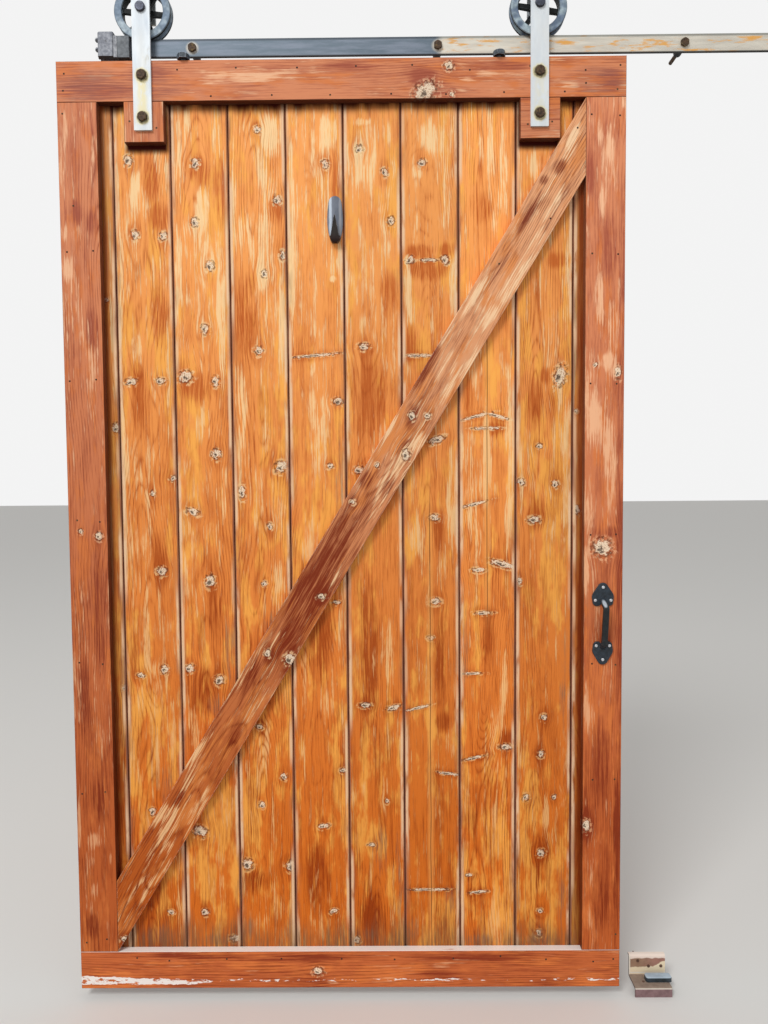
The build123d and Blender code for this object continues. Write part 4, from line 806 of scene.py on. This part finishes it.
def metalMaterial(name, look, layer=None):
    # the layer is a function of this object's own that paints more over the plain finish
    look = dict(plainMetal, **look)
    material, tree, shader = newMaterial(name + "_finish")
    place = addNode(tree, "TexCoord").outputs["Object"]
    colour, stain, skin = metalColour(name, look, place)
    if layer:
        colour = layer(place, colour, skin)
    plug(colour, shader.inputs["Base Color"])
    rough = calc("MULTIPLY_ADD", stain, 0.25, look["rough"])
    plug(calc("MULTIPLY_ADD", skin["Mottle"], 0.08, rough), shader.inputs["Roughness"])
    if look["metal"]:
        plug(remap(stain, 0, 1, look["metal"], 0.0), shader.inputs["Metallic"])
    shader.inputs["Specular IOR Level"].default_value = look["gloss"]
    bump(shader, skin["Grit"], 0.00015, 0.5)
    return material


def fromAxis(place, x, z):
    # how far a point is from a line along Y
    off = vectorCalc("SUBTRACT", place, (x, 0, z))[0]
    return vectorCalc("LENGTH", vectorCalc("MULTIPLY", off, (1, 0, 1))[0])[1]


def boltCentres(name):
    # a strap's two bolts stand one above the other
    low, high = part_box(name)
    corner = (high.x - low.x) / math.sqrt(3)
    return [((low.x + high.x) / 2, low.z + corner), ((low.x + high.x) / 2, high.z - corner)]


strapHalo = {"radius": 0.0195, "dark": 0.012, "oil": paint(150, 140, 100), "yellow": paint(228, 216, 168),
             "warm": paint(232, 228, 216), "shade": paint(74, 62, 40),
             "washer": (0.0135, 0.0105), "oilTo": 0.0155, "yellowFull": 0.013}


def washerOil(side, place, colour, skin):
    # a washer is dark only close to its bolt
    uneven = noise(place, (160, 160, 160), (3, 7, 2), 3.0)
    for x, z in boltCentres("strap_bolts_" + side):
        distance = plus(fromAxis(place, x, z), sumUp(sway(0.006), (uneven, 0.006)))
        colour = coat(colour, strapHalo["shade"], remap(distance, *strapHalo["washer"]), 0.9)
    return colour


def strapHalos(side, amount, place, colour, skin):
    # oil and yellow rust round both bolts and in the run between them
    centres = boltCentres("strap_bolts_" + side)
    colour = coat(colour, strapHalo["warm"], noise(place, (30, 30, 9), (5, 1, 2), 2.0), 0.8)
    x, low, high = *centres[0], centres[1][1]
    part = axes(place)
    uneven = noise(place, (120, 120, 60), (9, 2, 4), 3.0)
    run = between(part[2], low - 0.02, low + 0.01, high - 0.01, high + 0.012)
    off = calc("ABSOLUTE", minus(part[0], x))
    run = times(run, remap(off, 0.016, 0.004), remap(uneven, 0.3, 0.55))
    colour = coat(colour, strapHalo["yellow"], run, amount)
    for x, z in centres:
        distance = plus(fromAxis(place, x, z), sumUp(sway(0.012), (uneven, 0.012)))
        colour = coat(colour, strapHalo["yellow"], remap(distance, strapHalo["radius"], strapHalo["yellowFull"]), 0.8)
        colour = coat(colour, strapHalo["oil"], remap(distance, strapHalo["oilTo"], strapHalo["dark"]), 0.6)
    return colour


wheelRing = {
    "starts": (0.0445, 0.046),
    "left": {"face": paint(140, 158, 178), "band": paint(192, 208, 218), "grime": paint(84, 98, 114)},
    "right": {"face": paint(116, 132, 156), "band": paint(186, 204, 212), "grime": paint(70, 86, 98)},
}


def wheelFace(side, place, colour, skin):
    # the front of the rim is worn to a pale blue grey; everything behind and inside it stays dark, partly the iron's
    # black and partly painted shade
    low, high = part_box("wheel_" + side)
    tone = wheelRing[side]
    distance = fromAxis(place, (low.x + high.x) / 2, (low.z + high.z) / 2)
    ring = times(remap(distance, *wheelRing["starts"]), facing(place, "Y", -0.6, -0.8))
    cloud = noise(place, (34, 34, 34), (2, 6, 8), 2.0)
    face = mixColour(remap(cloud, 0.4, 0.62), tone["face"], tone["band"])
    face = coat(face, tone["grime"], skin["Mottle"], 0.5)
    return coat(colour, face, ring, 0.95)


wallBolts = {"pitch": 0.551, "flats": 0.017, "halo": 0.017}
railLook = {
    "change": (0.545, 0.565), "top": (0.0135, 0.0165), "foot": (-0.0165, -0.0185), "topDark": paint(40, 48, 56),
    "topPale": paint(116, 120, 116), "footDark": paint(34, 34, 36), "ring": paint(214, 204, 186)}


def railEdges(place, colour, skin):
    # a dark line along each edge of the bar, and a pale worn ring round each wall bolt
    height = axes(place)[2]
    top = mixColour(remap(axes(place)[0], *railLook["change"]), railLook["topDark"], railLook["topPale"])
    colour = coat(colour, top, remap(height, *railLook["top"]), 0.7)
    colour = coat(colour, railLook["footDark"], remap(height, *railLook["foot"]), 0.85)
    low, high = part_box("wall_bolts")
    half = wallBolts["flats"] / 2
    fromFirst = minus(axes(place)[0], low.x + half)
    offset = calc("MINIMUM", calc("PINGPONG", fromFirst, wallBolts["pitch"] / 2),
                  calc("ABSOLUTE", minus(fromFirst, high.x - low.x - 2 * half)))
    distance = calc("SQRT", calc("MULTIPLY_ADD", offset, offset, times(height, height)))
    return coat(colour, railLook["ring"], remap(distance, wallBolts["halo"], half), 0.7)


# painted highlight bands: off the middle, and their colour; heights are above the oval's lower end
hookLook = {
    "highlightBands": ((-0.0105, (178, 188, 200)), (0.0115, (150, 152, 158))), "half": (0.0042, 0.0016),
    "face": (-0.0475, -0.0455),
    "highlightFrom": (0.012, 0.03), "shadeTo": (0.022, 0.008), "foot": (34, 12, 6)}


def hookHighlightsAndShade(place, colour, skin):
    # painted highlights down both sides of the oval, and a painted shade on its lower end
    low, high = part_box("oval_hook")
    across, front, height = axes(place)
    middle, above = (low.x + high.x) / 2, lambda pair: (low.z + pair[0], low.z + pair[1])
    drift = sumUp(sway(0.004), (across, 1.0), (noise(place, (20, 20, 30), (4, 7, 1), 2.0), 0.004))
    face = remap(front, *hookLook["face"])
    for off, tone in hookLook["highlightBands"]:
        band = remap(calc("ABSOLUTE", minus(drift, middle + off)), *hookLook["half"])
        colour = coat(colour, paint(*tone), band, face, remap(height, *above(hookLook["highlightFrom"])), 0.85)
    return coat(colour, paint(*hookLook["foot"]), remap(height, *above(hookLook["shadeTo"])), 0.8)


handleHighlight = {"centre": (0.9215, 0, -1.2555), "half": (0.0048, 1, 0.007), "colour": paint(206, 220, 232)}


def neckHighlight(place, colour, skin):
    # a painted highlight on the neck's flat top
    off = vectorCalc("SUBTRACT", place, handleHighlight["centre"])[0]
    across, _, high = handleHighlight["half"]
    distance = vectorCalc("LENGTH", vectorCalc("MULTIPLY", off, (1 / across, 0, 1 / high))[0])[1]
    return coat(colour, handleHighlight["colour"], remap(distance, 1.3, 0.5), facing(place, "Z", 0.1, 0.5), 0.85)


# heights above the door's foot, where the bracket's old paint changes; side is a painted shade on the faces that look
# left
guideZones = {
    "flangeFrom": 0.01, "topBand": 0.0355, "patchFoot": 0.0155, "ledge": -0.004, "lipTop": -0.0075,
    "cream": paint(250, 232, 198), "band": paint(250, 232, 218), "patch": paint(164, 130, 106),
    "patchEnd": paint(174, 124, 110),
    "ledgeTop": paint(156, 136, 120), "lip": paint(146, 116, 118), "side": paint(62, 42, 32),
    "line": paint(246, 238, 222)}


def guideLayers(place, colour, skin):
    zones = guideZones
    height = minus(axes(place)[2], doorFoot.z)
    along = minus(axes(place)[0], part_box("guide_bracket")[0].x)
    uneven = axes(threeNoises(place, (60, 60, 90), (3, 3, 8), 3.0))
    wavy = sumUp(sway(0.008), (height, 1.0), (uneven[0], 0.008))
    front = facing(place, "Y", -0.5, -0.8)
    flange = times(front, remap(height, zones["ledge"] - 0.001, zones["ledge"] + 0.002))
    face = mixColour(remap(along, 0.02, 0.075), zones["patch"], zones["patchEnd"])
    face = coat(face, paint(112, 82, 66), skin["Mottle"], 0.3)
    foot = plus(wavy, times(remap(along, 0.055, 0.085), -0.014))
    face = coat(face, zones["cream"], remap(foot, zones["patchFoot"] + 0.001, zones["patchFoot"] - 0.002))
    face = coat(face, zones["band"], remap(wavy, zones["topBand"] - 0.001, zones["topBand"] + 0.0015))
    face = coat(face, zones["line"], remap(along, 0.004, 0.002))
    face = coat(face, zones["line"], remap(calc("ABSOLUTE", minus(height, zones["ledge"] + 0.0045)), 0.0022, 0.001))
    colour = coat(colour, face, flange, 0.96)
    ledge = mixColour(times(skin["Mottle"], 0.5), zones["ledgeTop"], paint(122, 102, 88))
    ledge = coat(ledge, zones["band"], calc("GREATER_THAN", height, zones["flangeFrom"]))
    colour = coat(colour, ledge, facing(place, "Z", 0.5, 0.8), 0.9)
    lip = times(front, remap(height, zones["ledge"] - 0.001, zones["ledge"] - 0.003))
    lipFace = mixColour(times(skin["Mottle"], 0.5), zones["lip"], paint(98, 72, 74))
    lipFace = coat(lipFace, zones["line"], remap(height, zones["lipTop"] - 0.001, zones["lipTop"] + 0.001))
    colour = coat(colour, lipFace, lip, 0.96)
    # painted shade on the faces that look left
    return coat(colour, zones["side"], facing(place, "X", -0.5, -0.8), 0.85)


def blockTopReflection(place, colour, skin):
    # a painted pale reflection of the sky on the guide block's top; its front keeps the block's dark colour
    skyReflection = mixColour(times(skin["Mottle"], 0.5), paint(182, 198, 210), paint(150, 164, 178))
    return coat(colour, skyReflection, facing(place, "Z", 0.3, 0.7), 0.95)


def collarTop(place, colour, skin):
    # light catches only the top of a collar
    return coat(colour, paint(168, 182, 192), facing(place, "Z", 0.2, 0.7), 0.85)


def like(name, **changes):
    return dict(metalFinish[name], **changes)


metalFinish["washer_zinc"] = like("worn_bolt", base=(204, 198, 168), mottle=(176, 166, 128), edge=(222, 216, 190))
metalFinish["dark_screw"] = like("worn_bolt", base=(70, 44, 30), mottle=(44, 28, 20), edge=(120, 92, 70))
metalFinish["guide_screw"] = like("worn_bolt", base=(112, 84, 70), mottle=(84, 60, 48), edge=(150, 122, 100))
layered = {
    "track_rail": ("rail_steel", railEdges), "oval_hook": ("hook_steel", hookHighlightsAndShade),
    "pull_handle": ("handle_iron", neckHighlight),
    "guide_bracket": ("guide_paint", guideLayers), "guide_block": ("guide_plastic", blockTopReflection)}
for side, halo in (("left", 0.8), ("right", 0.3)):
    layered["hanger_strap_" + side] = ("strap_zinc", partial(strapHalos, side, halo))
    layered["wheel_" + side] = ("wheel_iron", partial(wheelFace, side))
    layered["strap_washers_" + side] = ("washer_zinc", partial(washerOil, side))
    layered["anti_jump_collar_" + side] = ("collar_steel", collarTop)
slotOf = {part["node"]: part["material_slot"] for part in frame["record"]["subparts"]
          if part["node"] not in boards and part["node"] not in layered}
slotOf.update(guide_screws="guide_screw", guide_pin="guide_screw", nails="dark_screw")
metals = {slot: metalMaterial(slot, look) for slot, look in metalFinish.items() if slot in slotOf.values()}
for name in nodes:
    if name in layered:
        slot, layer = layered[name]
        wear(name, metalMaterial(name, metalFinish[slot], layer))
    elif name not in boards:
        wear(name, metals[slotOf[name]])
print("metal finishes:", len(metals), "plain,", len(layered), "of their own")


# Nail heads

nailHead = {"radius": 2.2, "stands": 0.45, "sunk": 0.6, "sides": 12}

# mm from the door's left edge, mm above its foot
nailPlaces = {
    "top_rail": [(18, 2107), (271, 2113), (402, 2116), (538, 2115), (669, 2117), (794, 2118), (922, 2106),
        (1056, 2113), (15, 2070), (345, 2055), (481, 2056), (611, 2055), (747, 2056), (869, 2054), (998, 2057),
        (1179, 2103), (1180, 2075), (1133, 2057), (1256, 2113), (1250, 2061)],
    "left_stile": [(12, 2020), (31, 1818), (14, 1716), (73, 1718), (12, 1427), (72, 1430), (20, 1110), (72, 1106),
        (16, 780), (70, 776), (14, 470), (68, 474), (15, 112), (63, 120)],
    "right_stile": [(1193, 2007), (1256, 2004), (1254, 1700), (1196, 1702), (1194, 1412), (1253, 1411), (1196, 1068),
        (1254, 1069), (1201, 770), (1255, 767), (1204, 497), (1255, 498), (1260, 127)],
    "bottom_rail": [(133, 74), (209, 67), (345, 71), (474, 71), (616, 70), (741, 68), (879, 70), (990, 75),
        (1097, 67), (1208, 61), (1255, 67)],
    "hanger_block_left": [(162, 2002), (222, 1987)],
    "hanger_block_right": [(1051, 1987), (1105, 1992)],
    "diagonal_brace": [(1162, 1978), (1102, 1780), (987, 1681)],
}


def nailMesh(name, places, face):
    # low round heads in one mesh, their backs in the wood
    shape = bmesh.new()
    profile = [(1.0, nailHead["sunk"]), (1.0, -0.1), (0.8, -0.34), (0.45, -nailHead["stands"])]
    for x, z in places:
        rings = []
        for size, depth in profile:
            ring = []
            for step in range(nailHead["sides"]):
                angle = 2 * math.pi * step / nailHead["sides"]
                ring.append(shape.verts.new((
                    doorFoot.x + (x + size * nailHead["radius"] * math.cos(angle)) * mm,
                    face + depth * mm,
                    doorFoot.z + (z + size * nailHead["radius"] * math.sin(angle)) * mm)))
            rings.append(ring)
        for outer, inner in zip(rings, rings[1:]):
            for step in range(nailHead["sides"]):
                after = (step + 1) % nailHead["sides"]
                shape.faces.new((outer[step], outer[after], inner[after], inner[step]))
        shape.faces.new(rings[-1])
        shape.faces.new(rings[0][::-1])
    bmesh.ops.recalc_face_normals(shape, faces=shape.faces)
    mesh = bpy.data.meshes.new(name)
    shape.to_mesh(mesh)
    shape.free()
    piece = bpy.data.objects.new(name, mesh)
    bpy.context.scene.collection.objects.link(piece)
    return piece


for board, places in nailPlaces.items():
    heads = nailMesh("nails_" + board, places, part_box(board)[0].y)
    wear(heads, metals["dark_screw"])
    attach(heads, "door")
print("nails:", sum(len(places) for places in nailPlaces.values()))


# Floor, light and camera

studio = {
    "floorBelow": 27 * mm, "floorSize": 60.0, "floorColour": paint(228, 226, 222), "backdrop": 0.9,
    "fill": 0.52, "keyPlace": (-2.3, -5.6, 4.6), "keyAim": (0.35, 0, -1.0), "keySize": 2.6, "keyPower": 350}


def makeFloor():
    half = studio["floorSize"] / 2
    level = doorFoot.z - studio["floorBelow"]
    mesh = bpy.data.meshes.new("floor")
    corners = [(x * half, y * half, level) for x, y in ((-1, -1), (1, -1), (1, 1), (-1, 1))]
    mesh.from_pydata(corners, [], [(0, 1, 2, 3)])
    floor = bpy.data.objects.new("floor", mesh)
    bpy.context.scene.collection.objects.link(floor)
    material, _, shader = newMaterial("floor_plain")
    shader.inputs["Base Color"].default_value = studio["floorColour"]
    shader.inputs["Roughness"].default_value = 0.9
    wear(floor, material)


def makeWorld():
    world = bpy.data.worlds.new("studio")
    bpy.context.scene.world = world
    world.use_nodes = True
    tree = world.node_tree
    tree.nodes.clear()
    rays = addNode(tree, "LightPath").outputs
    seen = calc("MAXIMUM", rays["Is Camera Ray"], calc("MAXIMUM", rays["Is Glossy Ray"], rays["Is Transmission Ray"]))
    light = addNode(tree, "Background", (1, 1, 1, 1), studio["fill"]).outputs[0]
    shown = addNode(tree, "Background", (1, 1, 1, 1), studio["backdrop"]).outputs[0]
    mixed = addNode(tree, "MixShader", seen, light, shown).outputs[0]
    tree.links.new(mixed, addNode(tree, "OutputWorld").inputs[0])


def makeKeyLight():
    lamp = bpy.data.lights.new("key", "AREA")
    lamp.size = studio["keySize"]
    lamp.energy = studio["keyPower"]
    light = bpy.data.objects.new("key", lamp)
    light.location = studio["keyPlace"]
    aim = Vector(studio["keyAim"]) - light.location
    light.rotation_euler = aim.to_track_quat("-Z", "Y").to_euler()
    light.visible_camera = False
    bpy.context.scene.collection.objects.link(light)


# where the photograph was taken from, fitted to the leaf's corners, seams and rail
viewpoint = {"place": (0.4325, -1.818, -0.9555), "yaw": -0.33, "dip": 2.90, "roll": -0.44, "lens": 27.04}


def makeCamera():
    data = bpy.data.cameras.new("camera")
    data.lens = viewpoint["lens"]
    data.sensor_width = 36
    data.clip_start = 0.05
    camera = bpy.data.objects.new("camera", data)
    yaw, dip, roll = (math.radians(viewpoint[key]) for key in ("yaw", "dip", "roll"))
    turn = Matrix.Rotation(-yaw, 4, "Z") @ Matrix.Rotation(math.pi / 2 - dip, 4, "X") @ Matrix.Rotation(roll, 4, "Z")
    camera.matrix_world = Matrix.Translation(viewpoint["place"]) @ turn
    bpy.context.scene.collection.objects.link(camera)
    bpy.context.scene.camera = camera


makeFloor()
makeWorld()
makeKeyLight()
makeCamera()
bpy.context.scene.view_settings.view_transform = "Standard"
print("studio ready")
